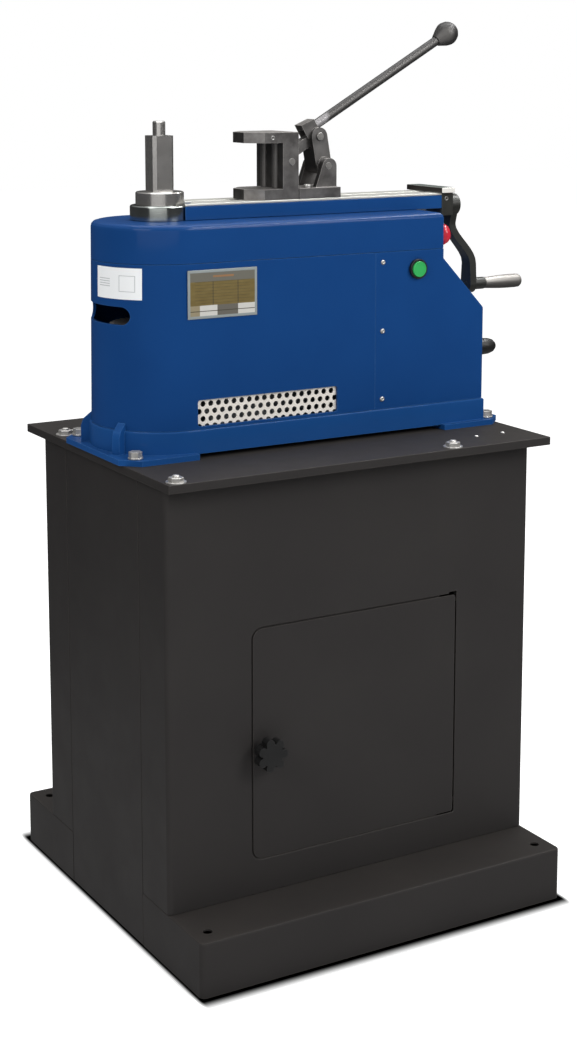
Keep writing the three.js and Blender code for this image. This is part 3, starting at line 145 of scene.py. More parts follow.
def buildDust():
    # settles on faces that look up, in soft patches
    dust = {"scale": 14.0, "detail": 5.0, "steepness": 4.0, "least": 0.35, "blend": 0.5}
    group, taken, given = newGroup("settledDust", [("Amount", "Float", 0.3)], "Mask")
    place = put(group, "TexCoord").outputs
    upward = put(group, "SeparateXYZ", {0: place["Normal"]}).outputs["Z"]
    cloudy = {"Vector": place["Object"], "Scale": dust["scale"], "Detail": dust["detail"]}
    noise = put(group, "TexNoise", cloudy).outputs["Fac"]
    patches = maths(group, "SMOOTH_MAX", noise, dust["least"], dust["blend"])
    flat = maths(group, "POWER", maths(group, "MAXIMUM", upward, 0.0), dust["steepness"])
    settled = times(group, flat, patches)
    group.links.new(maths(group, "MULTIPLY", settled, taken["Amount"], clamp=True), given)
    return group


groups = {"wearAndSheen": buildEdgeWearAndSheen(), "grain": buildGrain(), "dust": buildDust()}
print("surface groups built")


def useGroup(tree, name, inputs):
    made = tree.nodes.new("ShaderNodeGroup")
    made.node_tree = groups[name]
    for label, value in inputs.items():
        made.inputs[label].default_value = value
    return made.outputs[0]


def grain(tree, scale, detail, stretch=(1, 1, 1)):
    return useGroup(tree, "grain", {"Scale": scale, "Detail": detail, "Stretch": stretch})


def wearAndSheen(tree, radius, breakup, amount):
    return useGroup(tree, "wearAndSheen", {"Radius": radius, "Breakup": breakup, "Amount": amount})


def alignment(tree, way):
    # how nearly a face looks the given way, in the piece's own space, so that it turns with the piece
    normal = put(tree, "TexCoord").outputs["Normal"]
    return vectors(tree, "DOT_PRODUCT", normal, tuple(Vector(way).normalized()))


def facing(tree, way, low, high):
    return ramp(tree, alignment(tree, way), low, high)


def along(tree, source, axis):
    # one coordinate of the piece's own space or of its print
    return put(tree, "SeparateXYZ", {0: put(tree, "TexCoord").outputs[source]}).outputs[axis]


def newMaterial(name, fixed):
    material = bpy.data.materials.new(name)
    material.use_nodes = True
    tree = material.node_tree
    tree.nodes.clear()
    shader = put(tree, "BsdfPrincipled")
    tree.links.new(shader.outputs[0], put(tree, "OutputMaterial").inputs[0])
    for label, value in fixed.items():
        shader.inputs[label].default_value = value
    return material, tree, shader.inputs


def raiseSkin(tree, into, height, strength, depth):
    made = put(tree, "Bump", {"Height": height, "Strength": strength, "Distance": depth})
    tree.links.new(made.outputs[0], into["Normal"])


# Finishes

def makeFinish(name, look):
    # cloudy colour, painted light on the faces that look a given way, lighter edges (in the blue paint
    # partly a painted highlight), dust, smeared shine and a fine skin; cloud, smear and skin are a grain's
    # scale, detail and stretch, and the last two follow the cloud where they aren't given
    material, tree, into = newMaterial(name, look["fixed"])
    cloud = grain(tree, *look["cloud"])
    colour = mixColour(tree, cloud, look["dark"], look["light"])
    for way, low, high, tint in look.get("paintedLightTints", ()):
        colour = mixColour(tree, facing(tree, way, low, high), colour, tint)
    colour = mixColour(tree, wearAndSheen(tree, *look["wearAndSheen"]), colour, look["wornAndSheen"])
    if "dust" in look:
        amount, tint = look["dust"]
        colour = mixColour(tree, useGroup(tree, "dust", {"Amount": amount}), colour, tint)
    tree.links.new(colour, into["Base Color"])
    smear = grain(tree, *look["smear"]) if "smear" in look else cloud
    tree.links.new(mixValue(tree, smear, *look["rough"]), into["Roughness"])
    if "relief" in look:
        skin = grain(tree, *look["skin"]) if "skin" in look else cloud
        raiseSkin(tree, into, skin, *look["relief"])
    return material


def makeBluePaint(name, deep, light):
    # the edges are tinted a lighter blue: partly worn paint, partly a painted highlight
    return makeFinish(name, {
        "fixed": {"Coat Weight": 0.15, "Coat Roughness": 0.08, "Specular IOR Level": 0.03},
        "cloud": (9.0, 4.0), "dark": deep, "light": light, "wearAndSheen": (0.0016, 160.0, 0.32),
        "wornAndSheen": (84, 134, 190), "dust": (0.06, (110, 136, 170)), "smear": (26.0, 3.0),
        "rough": (0.34, 0.5), "skin": (420.0, 1.0), "relief": (0.25, 0.00004)})


def makeBlackPaint():
    return makeFinish("blackPaint", {
        "fixed": {"Specular IOR Level": 0.12}, "cloud": (6.0, 5.0), "dark": (43, 41, 41),
        "light": (50, 48, 47), "wearAndSheen": (0.0018, 120.0, 0.3), "wornAndSheen": (96, 91, 86),
        "dust": (0.16, (92, 84, 76)), "smear": (18.0, 4.0), "rough": (0.42, 0.62),
        "skin": (900.0, 2.0), "relief": (0.35, 0.0001)})


def makeMachinedSteel(name, stretch, dark, light, rough, metal):
    # turned or ground: fine lines drawn out along the cut
    return makeFinish(name, {
        "fixed": {"Metallic": metal}, "cloud": (60.0, 4.0, stretch), "dark": dark, "light": light,
        "wearAndSheen": (0.0008, 300.0, 0.5), "wornAndSheen": (226, 226, 224), "smear": (40.0, 3.0), "rough": rough,
        "relief": (0.18, 0.00004)})


def makeZinc():
    return makeFinish("zincPlate", {
        "fixed": {"Metallic": 0.7}, "cloud": (160.0, 4.0), "dark": (150, 148, 145),
        "light": (212, 210, 206), "wearAndSheen": (0.0006, 320.0, 0.5), "wornAndSheen": (236, 235, 232),
        "rough": (0.3, 0.48)})


def makePlainFinish(name, dark, light, rough, metallic=0.0, paintedLightTints=()):
    # moulded plastic, cast iron and painted sheet;
    # each painted-light tint is (way, low, high, colour) and puts painted light on the faces that look that
    # way
    paler = 45           # how much lighter a worn edge is, of 255
    uneven = 0.08
    return makeFinish(name, {
        "fixed": {"Metallic": metallic, "Specular IOR Level": 0.45}, "cloud": (45.0, 4.0), "dark": dark,
        "light": light, "paintedLightTints": paintedLightTints, "wearAndSheen": (0.0009, 240.0, 0.35),
        "wornAndSheen": tuple(min(255, channel + paler) for channel in light),
        "rough": (rough - uneven, rough + uneven), "skin": (600.0, 2.0), "relief": (0.3, 0.00008)})


def makeBlackenedSteel():
    # rolled scale with random oily patches; painted shade darkens the faces toward the spindle, and painted
    # light makes the nose's flanks and the tops a paler grey
    look = {"patches": (44.0, 5.0), "patchy": (0.36, 0.68), "black": (60, 58, 58), "grey": (114, 112, 111),
            "oily": (21.0, 2.0), "oilShare": 0.5, "oil": (84, 81, 77),
            "paintedShade": ((-1, 0, 0), 0.8, 0.9), "paintedShadeShare": 0.72, "paintedShadeColour": (32, 31, 30),
            "litFlanks": (((-1, -1, 0), 0.94, 0.97), ((-1, 1, 0), 0.94, 0.97)), "litFlankShare": 0.5,
            "litTops": ((0, 0, 1), 0.9, 0.95), "paintedLightDark": (126, 122, 119), "paintedLight": (162, 159, 156),
            "wearAndSheen": (0.0012, 260.0, 0.6), "bare": (188, 184, 179), "rough": (0.46, 0.36),
            "skin": (420.0, 4.0), "relief": (0.4, 0.00012)}
    material, tree, into = newMaterial("blackenedSteel", {"Metallic": 0.45, "Specular IOR Level": 0.4})
    patchy = ramp(tree, grain(tree, *look["patches"]), *look["patchy"])
    scale = mixColour(tree, patchy, look["black"], look["grey"])
    oily = times(tree, grain(tree, *look["oily"]), look["oilShare"])
    # painted shade: the faces that look toward -X are darkened
    paintedShade = times(tree, facing(tree, *look["paintedShade"]), look["paintedShadeShare"])
    steel = mixColour(tree, paintedShade, mixColour(tree, oily, scale, look["oil"]), look["paintedShadeColour"])
    # painted light: the nose's flanks and the faces that look up are painted a paler grey
    near, far = [facing(tree, *flank) for flank in look["litFlanks"]]
    litFlanks = times(tree, maths(tree, "MAXIMUM", near, far), look["litFlankShare"])
    paintedLight = maths(tree, "MAXIMUM", litFlanks, facing(tree, *look["litTops"]))
    steel = mixColour(tree, paintedLight, steel, mixColour(tree, patchy, look["paintedLightDark"], look["paintedLight"]))
    rubbed = wearAndSheen(tree, *look["wearAndSheen"])
    tree.links.new(mixColour(tree, rubbed, steel, look["bare"]), into["Base Color"])
    tree.links.new(mixValue(tree, patchy, *look["rough"]), into["Roughness"])
    raiseSkin(tree, into, grain(tree, *look["skin"]), *look["relief"])
    return material


def makeOiledBar():
    # dark oiled bar; painted light makes its side toward the front and left paler, and beside the lever's
    # head that side is paler still, rubbed bare there and shown only on that side as a painted highlight
    look = {"cloud": (70.0, 3.0), "dark": (46, 45, 45), "light": (56, 55, 54),
            "side": (-0.5, -0.85, -0.05), "litSideFrom": (0.72, 1.0), "litSide": (98, 96, 94),
            "bareAndLitFrom": (0.3, 0.8), "bare": (138, 136, 137), "bareLong": 0.03, "fade": 0.006,
            "rough": (0.42, 0.54), "skin": (300.0, 2.0), "relief": (0.15, 0.00003)}
    material, tree, into = newMaterial("oiledBar", {"Metallic": 0.3, "Specular IOR Level": 0.35})
    cloud = grain(tree, *look["cloud"])
    oiled = mixColour(tree, cloud, look["dark"], look["light"])
    # painted light: the side that looks forward and to the left is paler
    litSide = facing(tree, look["side"], *look["litSideFrom"])
    oiled = mixColour(tree, litSide, oiled, look["litSide"])
    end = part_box("clamp_bar")[0].x + look["bareLong"]
    # beside the lever's head: rubbed bare, painted only on that one side, so partly a painted highlight
    fading = ramp(tree, along(tree, "Object", "X"), end, end - look["fade"])
    bareAndLit = times(tree, fading, facing(tree, look["side"], *look["bareAndLitFrom"]))
    tree.links.new(mixColour(tree, bareAndLit, oiled, look["bare"]), into["Base Color"])
    tree.links.new(mixValue(tree, cloud, *look["rough"]), into["Roughness"])
    raiseSkin(tree, into, grain(tree, *look["skin"]), *look["relief"])
    return material


def makeEndPlateSteel():
    # blackened bar; its front face is painted near-white as a painted highlight, and the faces that look up
    # are a lighter greenish grey with fine lines
    look = {"lines": (60.0, 3.0, (6.0, 1.0, 40.0)), "black": (40, 35, 33), "top": (112, 122, 117),
            "lineShare": 0.6, "turn": 0.6, "rubbedAndHighlight": (232, 230, 224), "wearAndSheen": (0.001, 240.0, 0.6),
            "rough": (0.36, 0.5), "relief": (0.2, 0.00005)}
    material, tree, into = newMaterial("endPlateSteel", {"Metallic": 0.3})
    lines = grain(tree, *look["lines"])
    top = mixColour(tree, times(tree, lines, look["lineShare"]), look["top"], look["black"])
    upper = maths(tree, "GREATER_THAN", alignment(tree, (0, 0, 1)), look["turn"])
    front = maths(tree, "GREATER_THAN", alignment(tree, (0, -1, 0)), look["turn"])
    # painted highlight: the face that looks forward is near-white
    ground = mixColour(tree, front, mixColour(tree, upper, look["black"], top), look["rubbedAndHighlight"])
    rubbed = wearAndSheen(tree, *look["wearAndSheen"])
    tree.links.new(mixColour(tree, rubbed, ground, look["rubbedAndHighlight"]), into["Base Color"])
    tree.links.new(mixValue(tree, lines, *look["rough"]), into["Roughness"])
    raiseSkin(tree, into, lines, *look["relief"])
    return material


def makeNameplate():
    # etched plate: header, ruled fields and a pale strip, with no words;
    # a print is (left, right), (foot, top), share and colour, and -1 and 2 lie past the edges
    gold, pale, grey, ink = (104, 88, 48), (134, 117, 68), (112, 110, 100), (70, 64, 50)
    whole = (-1, 2)
    look = {"cloud": (70.0, 4.0, (1.0, 1.0, 3.0)), "rules": 16, "ruleWide": 0.12, "ruleShare": 0.7,
            "ruledAcross": (0.1, 0.9), "stripTop": 0.27, "rim": 0.035, "rimTall": 0.056,
            "rimColour": (150, 158, 158), "rough": (0.34, 0.48), "relief": (0.4, 0.0002)}
    strip = (-1, look["stripTop"])
    prints = [((0.354, 0.366), whole, 0.8, ink), ((0.714, 0.726), whole, 0.8, ink),
              (whole, (0.76, 2), 1.0, grey), ((0.36, 0.66), (0.84, 0.88), 0.7, (168, 118, 70)),
              (whole, strip, 1.0, (214, 212, 206)), ((0.42, 0.72), strip, 0.85, ink),
              ((0.0, 0.17), strip, 0.8, pale), (whole, (0.145, 0.16), 1.0, ink)]
    material, tree, into = newMaterial("nameplateEtched", {"Metallic": 0.35})
    low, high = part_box("nameplate")
    across = ramp(tree, along(tree, "Object", "X"), low.x, high.x)
    up = ramp(tree, along(tree, "Object", "Z"), low.z, high.z)
    cloud = grain(tree, *look["cloud"])
    rows = maths(tree, "FRACT", times(tree, up, look["rules"]))
    rules = times(tree, maths(tree, "LESS_THAN", rows, look["ruleWide"]), look["ruleShare"])
    ruled = times(tree, rules, band(tree, across, *look["ruledAcross"]))
    face = mixColour(tree, ruled, mixColour(tree, cloud, gold, pale), ink)
    for sideways, upright, share, colour in prints:
        area = times(tree, band(tree, across, *sideways), band(tree, up, *upright))
        face = mixColour(tree, times(tree, area, share), face, colour)
    inside = times(tree, band(tree, across, look["rim"], 1 - look["rim"]),
                   band(tree, up, look["rimTall"], 1 - look["rimTall"]))
    rim = maths(tree, "SUBTRACT", 1.0, inside)
    tree.links.new(mixColour(tree, rim, face, look["rimColour"]), into["Base Color"])
    tree.links.new(mixValue(tree, cloud, *look["rough"]), into["Roughness"])
    raised = maths(tree, "ADD", rim, maths(tree, "LESS_THAN", up, look["stripTop"]))
    raiseSkin(tree, into, raised, *look["relief"])
    return material


def makeLabel():
    # white printed label on the round end: ruled lines on the left, an empty square on the right
    look = {"white": (238, 240, 241), "line": (168, 172, 174), "share": 0.8, "rows": 13.0, "rowWide": 0.34,
            "ruled": ((0.08, 0.36), (0.38, 0.66)), "outer": ((0.56, 0.88), (0.24, 0.76)),
            "inner": ((0.575, 0.865), (0.262, 0.738))}
    material, tree, into = newMaterial("whiteLabel", {"Roughness": 0.42})
    across = along(tree, "UV", "X")
    up = along(tree, "UV", "Y")
    ruled, outer, inner = [times(tree, band(tree, across, *look[area][0]), band(tree, up, *look[area][1]))
                           for area in ("ruled", "outer", "inner")]
    rows = maths(tree, "LESS_THAN", maths(tree, "FRACT", times(tree, up, look["rows"])), look["rowWide"])
    square = maths(tree, "SUBTRACT", outer, inner)
    printed = maths(tree, "ADD", times(tree, rows, ruled), square, clamp=True)
    colour = mixColour(tree, times(tree, printed, look["share"]), look["white"], look["line"])
    tree.links.new(colour, into["Base Color"])
    return material


paints = {
    "blue": makeBluePaint("bluePaint", (15, 56, 110), (20, 65, 122)),
    # a paler copy of the blue paint for the base and the slideway, as painted light
    "litBaseBlue": makeBluePaint("litBaseBluePaint", (19, 63, 118), (25, 74, 134)),
    "black": makeBlackPaint(),
    "turned": makeMachinedSteel("turnedSteel", (1.0, 1.0, 30.0), (158, 155, 152), (196, 194, 191),
                                (0.18, 0.28), 0.86),
    "ring": makeMachinedSteel("ringSteel", (1.0, 1.0, 40.0), (150, 154, 151), (178, 183, 179),
                              (0.12, 0.18), 0.97),
    "ground": makeMachinedSteel("groundSteel", (0.6, 18.0, 18.0), (203, 202, 194), (216, 216, 208),
                                (0.3, 0.4), 0.35),
    "rod": makeMachinedSteel("rodSteel", (1.0, 1.0, 18.0), (62, 60, 59), (104, 101, 99),
                             (0.34, 0.46), 0.6),
    "pin": makeMachinedSteel("pinSteel", (1.0, 26.0, 1.0), (112, 110, 107), (152, 150, 147),
                             (0.3, 0.4), 0.7),
    # painted light: the grip's top is painted paler than its underside
    "grip": makePlainFinish("gripSteel", (62, 60, 58), (74, 72, 70), 0.46, 0.6,
                            [((0, 0, 1), -0.6, 0.9, (148, 145, 141))]),
    "blackened": makeBlackenedSteel(),
    "bar": makeOiledBar(),
    # painted light: the faces toward -X are painted paler
    "arm": makePlainFinish("darkCastArm", (34, 35, 32), (46, 47, 43), 0.4, 0.2,
                           [((-1, 0, 0), 0.3, 0.9, (62, 68, 68))]),
    "endPlate": makeEndPlateSteel(),
    "zinc": makeZinc(),
    "cast": makePlainFinish("castGrey", (92, 95, 98), (120, 123, 126), 0.6, 0.3),
    "blackPlastic": makePlainFinish("blackPlastic", (16, 16, 16), (26, 26, 26), 0.42),
    "green": makePlainFinish("greenPlastic", (32, 150, 72), (44, 172, 86), 0.36),
    "red": makePlainFinish("redPlastic", (184, 28, 46), (208, 40, 60), 0.24),
    "mesh": makePlainFinish("perforatedSheet", (220, 213, 204), (236, 230, 222), 0.5),
    "nameplate": makeNameplate(),
    "label": makeLabel(),
}
print("finishes made:", len(paints))


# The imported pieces: finish and eased edges, the ease in metres

dressing = {
    "blue": (0.0011, ["housing_shell", "top_casting", "control_cover"]),
    "litBaseBlue": (0.0011, ["base_frame", "slideway"]),
    "black": (0.0009, ["front_foot", "back_foot", "left_side_panel", "right_side_panel", "front_panel",
                       "back_panel", "stand_shelf", "top_plate", "base_pan", "door_panel"]),
    "turned": (0.0006, ["spindle", "leadscrew"]),
    "ring": (0.0006, ["bearing_ring", "upper_bearing", "lower_bearing"]),
    "ground": (0.0005, ["slide_strip_front", "slide_strip_back"]),
    "pin": (0.0005, ["lever_pivot_pin", "link_pin", "boss_pin"]),
    "rod": (0.0005, ["jaw_bar_front", "jaw_bar_back"]),
    "grip": (0.0006, ["crank_grip"]),
    "blackened": (0.0009, ["carriage", "leadscrew_nut", "die_holder", "clamp_lever", "toggle_link",
                           "spindle_gear", "drive_pinion"]),
    "bar": (0.0008, ["clamp_bar", "clamp_knob"]),
    "arm": (0.0012, ["crank_arm", "grip_pin", "end_bearing_block"]),
    "endPlate": (0.0008, ["end_plate"]),
    "zinc": (0.0005, ["frame_bolt_1", "frame_bolt_2", "frame_bolt_3", "frame_bolt_4", "latch_cam",
                      "door_pivot_lower", "door_pivot_upper"]),
    "cast": (0.0, ["gearbox_case", "motor_case"]),
    "blackPlastic": (0.0006, ["door_knob", "start_bezel", "stop_collar", "cable_gland", "fan_cover"]),
    "green": (0.0008, ["start_button"]),
    "red": (0.0006, ["stop_button"]),
    "mesh": (0.0, ["vent_grille"]),
    "nameplate": (0.0003, ["nameplate"]),
}


def easeEdges(piece, width, corner):
    # corner: the turn in degrees above which an edge is eased
    edges = piece.modifiers.new("easeEdges", "BEVEL")
    edges.width = width
    edges.segments = 2
    edges.limit_method = "ANGLE"
    edges.angle_limit = math.radians(corner)


def evenNormals(piece):
    normals = piece.modifiers.new("evenNormals", "WEIGHTED_NORMAL")
    normals.keep_sharp = True


def dress(name, paint, ease):
    build = {"join": 0.00002, "flat": 0.8, "corner": 32}
    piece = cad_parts[name]
    piece.data.materials.clear()
    piece.data.materials.append(paint)
    for face in piece.data.polygons:
        face.use_smooth = True
    joined = piece.modifiers.new("joinCorners", "WELD")
    joined.merge_threshold = build["join"]
    flats = piece.modifiers.new("mergeFlats", "DECIMATE")
    flats.decimate_type = "DISSOLVE"
    flats.angle_limit = math.radians(build["flat"])
    if ease > 0:
        easeEdges(piece, ease, build["corner"])
    else:
        split = piece.modifiers.new("keepEdges", "EDGE_SPLIT")
        split.split_angle = math.radians(build["corner"])
    evenNormals(piece)


for finish, (ease, names) in dressing.items():
    for name in names:
        dress(name, paints[finish], ease)
print("packed pieces dressed")


# Mesh makers for the small pieces

def newPiece(name, corners, faces, paint, body, smooth=True):
    mesh = bpy.data.meshes.new(name)
    mesh.from_pydata(corners, [], faces)
    mesh.validate()
    for face in mesh.polygons:
        face.use_smooth = smooth
    mesh.materials.append(paints[paint])
    piece = bpy.data.objects.new(name, mesh)
    bpy.context.scene.collection.objects.link(piece)
    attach(piece, body)
    return piece


def revolve(shells, place, axis):
    # each shell is (sides, [(radius, height)...]) in millimetres, and closes on the axis or on itself
    turn = Vector((0, 0, 1)).rotation_difference(Vector(axis)).to_matrix()
    corners = []
    faces = []
    for sides, profile in shells:
        rings = []
        for radius, height in profile:
            count = sides if radius > 0 else 1
            rings.append(list(range(len(corners), len(corners) + count)))
            for side in range(count):
                angle = 2 * math.pi * (side + 0.5) / sides
                local = Vector((radius * math.cos(angle), radius * math.sin(angle), height)) * mm
                corners.append(Vector(place) + turn @ local)
        pairs = list(zip(rings, rings[1:]))
        if profile[0][0] > 0:
            pairs.append((rings[-1], rings[0]))
        for lower, upper in pairs:
            for side in range(sides):
                after = (side + 1) % sides
                ring = [lower[side % len(lower)], lower[after % len(lower)],
                        upper[after % len(upper)], upper[side % len(upper)]]
                face = list(dict.fromkeys(ring))
                if len(face) > 2:
                    faces.append(face)
    return corners, faces


def addScrew(name, screw, place, axis, paint="zinc", body="frame"):
    corners, faces = revolve([(screw["sides"], screw["profile"])], place, axis)
    newPiece(name, corners, faces, paint, body)


def addGrille():
    # the perforated sheet with its round holes: a ring of faces between each hole and its six-sided cell
    sheet = {"pitch": 12.2, "hole": 4.1, "firstRow": -1.2, "firstColumn": -8.2, "sides": 12, "lap": 5.6,
             "window": (-201, 25, 732.3, 769.3)}
    low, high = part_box("vent_grille")
    left, right, foot, top = [edge * mm for edge in sheet["window"]]
    pitch = sheet["pitch"] * mm
    hole = sheet["hole"] * mm
    lap = sheet["lap"] * mm
    sixth = math.pi / 3
    corners = []
    faces = []

    def ringOf(x, z, radius, y):
        # without a radius the ring follows the cell's own edge
        ring = []
        for side in range(sheet["sides"]):
            angle = 2 * math.pi * side / sheet["sides"]
            out = radius or pitch / 2 / math.cos(angle % sixth - sixth / 2)
            across = min(max(x + out * math.sin(angle), low.x), high.x)
            up = min(max(z + out * math.cos(angle), low.z), high.z)
            ring.append(len(corners))
            corners.append((across, y, up))
        return ring

    row = 0
    z = foot + sheet["firstRow"] * mm
    while z < top + lap:
        x = left + sheet["firstColumn"] * mm + pitch / 2 * (row % 2)
        while x < right + lap:
            walls = ((0, low.y), (hole, low.y), (hole, high.y), (0, high.y))
            rings = [ringOf(x, z, radius, y) for radius, y in walls]
            for inner, outer in zip(rings, rings[1:]):
                for side in range(sheet["sides"]):
                    after = (side + 1) % sheet["sides"]
                    faces.append([inner[side], inner[after], outer[after], outer[side]])
            x += pitch
        row += 1
        z += pitch * math.sin(sixth)
    piece = newPiece("vent_grille_round", corners, faces, "mesh", "frame", smooth=False)
    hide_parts("vent_grille")


def addCoverScrews():
    # button heads that hold the crank-end cover, three on each side
    screw = {"inset": 0.012, "fromEnds": 0.0145, "count": 3, "sides": 18,
             "profile": [(0, -0.6), (3.8, -0.6), (3.8, 0.5), (3.116, 1.92), (2.08, 2.4), (1.6, 2.2),
                         (1.6, 0.9), (0, 0.6)]}
    low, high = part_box("control_cover")
    foot = low.z + screw["fromEnds"]
    step = (high.z - screw["fromEnds"] - foot) / (screw["count"] - 1)
    for side, face, way in (("front", low.y, -1), ("back", high.y, 1)):
        for number in range(screw["count"]):
            place = (low.x + screw["inset"], face, foot + number * step)
            addScrew(f"cover_screw_{side}_{number + 1}", screw, place, (0, way, 0))


def addPlateNuts():
    # nuts that hold the plate on the stand, each on its washer, with the stud's end showing
    nut = {"left": 0.0175, "front": 0.014, "right": 0.1645, "back": 0.1045, "ease": 0.0004, "corner": 35,
           "washer": (24, [(0, -0.2), (14.0, -0.2), (14.0, 1.6), (0, 1.6)]),
           "hexagon": (6, [(0, 1.5), (10.5, 1.5), (10.5, 6.6), (9.45, 7.5), (0, 7.5)]),
           "stud": (16, [(0, 6.6), (5.0, 6.6), (5.0, 9.2), (3.75, 10.0), (0, 10.0)])}
    low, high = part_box("top_plate")
    left = low.x + nut["left"]
    right = high.x - nut["right"]
    places = [(left, low.y + nut["front"]), (right, low.y + nut["front"]),
              (left, high.y - nut["back"]), (right, high.y - nut["front"])]
    for number, (x, y) in enumerate(places):
        corners, faces = revolve([nut["washer"], nut["hexagon"], nut["stud"]], (x, y, high.z), (0, 0, 1))
        name = f"plate_nut_{number + 1}"
        piece = newPiece(name, corners, faces, "zinc", "frame", smooth=False)
        easeEdges(piece, nut["ease"], nut["corner"])
        evenNormals(piece)


def addPlateScrews():
    # two small screws in the plate in front of the crank end
    screw = {"places": [(0.2205, -0.1805), (0.2695, -0.1785)], "sides": 16,
             "profile": [(0, -0.3), (3.6, -0.3), (3.456, 0.3), (2.1, 1.1), (1.5, 1.1), (1.5, 0.2),
                         (0, 0.1)]}
    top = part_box("top_plate")[1].z
    for number, (x, y) in enumerate(screw["places"]):
        addScrew(f"plate_screw_{number + 1}", screw, (x, y, top), (0, 0, 1))


def addEndLabel():
    # wraps round the housing's round end, and leans out with it
    label = {"from": -178.3, "to": -132.1, "foot": 0.9098, "top": 0.9530, "steps": 24, "lift": 0.0003,
             "thick": 0.0002, "axisX": -0.207, "lean": 0.013, "leanLevel": 0.7683}
    low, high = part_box("housing_shell")
    radius = (high.y - low.y) / 2
    axisY = (high.y + low.y) / 2
    corners = []
    spread = []
    for layer in (label["lift"], label["lift"] + label["thick"]):
        for step in range(label["steps"] + 1):
            share = step / label["steps"]
            angle = math.radians(label["from"] + (label["to"] - label["from"]) * share)
            for edge, height in enumerate((label["foot"], label["top"])):
                middle = label["axisX"] + label["lean"] * (height - label["leanLevel"])
                x = middle + (radius + layer) * math.cos(angle)
                y = axisY + (radius + layer) * math.sin(angle)
                corners.append((x, y, height))
                spread.append((share, edge))
    row = 2 * (label["steps"] + 1)
    faces = []
    for step in range(label["steps"]):
        near = 2 * step
        far = row + near
        faces.append([far, far + 2, far + 3, far + 1])
        faces.append([near, near + 1, near + 3, near + 2])
        faces.append([near, near + 2, far + 2, far])
        faces.append([near + 1, far + 1, far + 3, near + 3])
    last = 2 * label["steps"]
    faces.append([0, row, row + 1, 1])
    faces.append([last, last + 1, row + last + 1, row + last])
    piece = newPiece("end_label", corners, faces, "label", "frame", smooth=False)
    printed = piece.data.uv_layers.new(name="print")
    for loop in piece.data.loops:
        printed.data[loop.index].uv = spread[loop.vertex_index]


def addThreadedScrew():
    # the leadscrew with its real thread: a core, a ridge wound round it and the plain journals
    screw = {"pitch": 4.0, "root": 6.9, "crest": 8.0, "steps": 16, "sides": 24, "journal": 6.0,
             "collar": 10.0, "collarLong": 3.4, "startInset": 10.5, "endInset": 0.6, "collarGap": 0.3,
             "flank": 1.12, "crestHalf": 0.504, "sunk": 0.3}
    low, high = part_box("leadscrew")
    start, end = low.x / mm, high.x / mm
    axisY, axisZ = (low.y + high.y) / 2, (low.z + high.z) / 2
    threadStart = start + screw["startInset"]
    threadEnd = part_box("slideway")[1].x / mm - screw["endInset"]
    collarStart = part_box("end_bearing_block")[1].x / mm + screw["collarGap"]
    collarEnd = collarStart + screw["collarLong"]
    journal, root, collar = screw["journal"], screw["root"], screw["collar"]
    core = [(0, start), (journal, start), (journal, threadStart), (root, threadStart), (root, threadEnd),
            (journal, threadEnd), (journal, collarStart), (collar, collarStart), (collar, collarEnd),
            (journal, collarEnd), (journal, end), (0, end)]
    corners, faces = revolve([(screw["sides"], core)], (0, axisY, axisZ), (1, 0, 0))
    turns = (threadEnd - threadStart - 2 * screw["flank"]) / screw["pitch"]
    count = int(turns * screw["steps"])
    first = len(corners)
    foot = root - screw["sunk"]
    section = [(foot, -screw["flank"]), (screw["crest"], -screw["crestHalf"]),
               (screw["crest"], screw["crestHalf"]), (foot, screw["flank"])]
    for step in range(count + 1):
        angle = 2 * math.pi * step / screw["steps"]
        middle = threadStart + screw["flank"] + screw["pitch"] * step / screw["steps"]
        for radius, aside in section:
            y = axisY + radius * math.cos(angle) * mm
            z = axisZ + radius * math.sin(angle) * mm
            corners.append(Vector(((middle + aside) * mm, y, z)))
    wide = len(section)
    for step in range(count):
        near = first + wide * step
        far = near + wide
        for side in range(wide):
            after = (side + 1) % wide
            faces.append([near + side, far + side, far + after, near + after])
    faces.append([first + side for side in range(wide)])
    faces.append([first + wide * count + side for side in reversed(range(wide))])
    piece = newPiece("leadscrew_threaded", corners, faces, "turned", "crank", smooth=False)
    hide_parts("leadscrew")


def addViceScrews():
    # the carriage's socket screws, the set screws in the holder's arm and the one in the end block
    socket = {"sides": 18, "back": 0.0165, "aside": 0.0335, "up": 0.015,
              "profile": [(0, -0.4), (5.2, -0.4), (5.2, 4.6), (4.7, 5.1), (2.9, 5.1), (2.6, 4.8),
                          (2.6, 2.2), (0, 1.9)]}
    flush = {"sides": 16, "holder": (0.035, 0.0075), "block": (0.0079, 0.0082),
             "profile": [(0, -0.5), (3.4, -0.5), (3.4, 0.35), (3.0, 0.6), (1.7, 0.6), (1.6, 0.3),
                         (1.6, -0.3), (0, -0.4)]}
    low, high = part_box("carriage")
    middle = (low.y + high.y) / 2
    for number, way in enumerate((-1, 1)):
        place = (low.x + socket["back"], middle + way * socket["aside"], low.z + socket["up"])
        addScrew(f"carriage_screw_{number + 1}", socket, place, (0, 0, 1), body="carriage")
    low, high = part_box("die_holder")
    back, down = flush["holder"]
    for number, (face, way) in enumerate(((low.y, -1), (high.y, 1))):
        place = (low.x + back, face, high.z - down)
        addScrew(f"holder_screw_{number + 1}", flush, place, (0, way, 0), "pin", "holder")
    low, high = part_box("end_bearing_block")
    back, down = flush["block"]
    addScrew("block_screw", flush, (low.x + back, low.y, high.z - down), (0, -1, 0), "pin")


addGrille()
addCoverScrews()
addPlateNuts()
addPlateScrews()
addEndLabel()
addThreadedScrew()
addViceScrews()
print("small pieces added")


# Studio: floor, backdrop light, lamps and camera

def seenPaths(tree):
    # what the eye sees, straight or through glass, and what a mirror sees
    path = put(tree, "LightPath").outputs
    seen = maths(tree, "MAXIMUM", path["Is Camera Ray"], path["Is Transmission Ray"])
    return seen, path["Is Glossy Ray"]


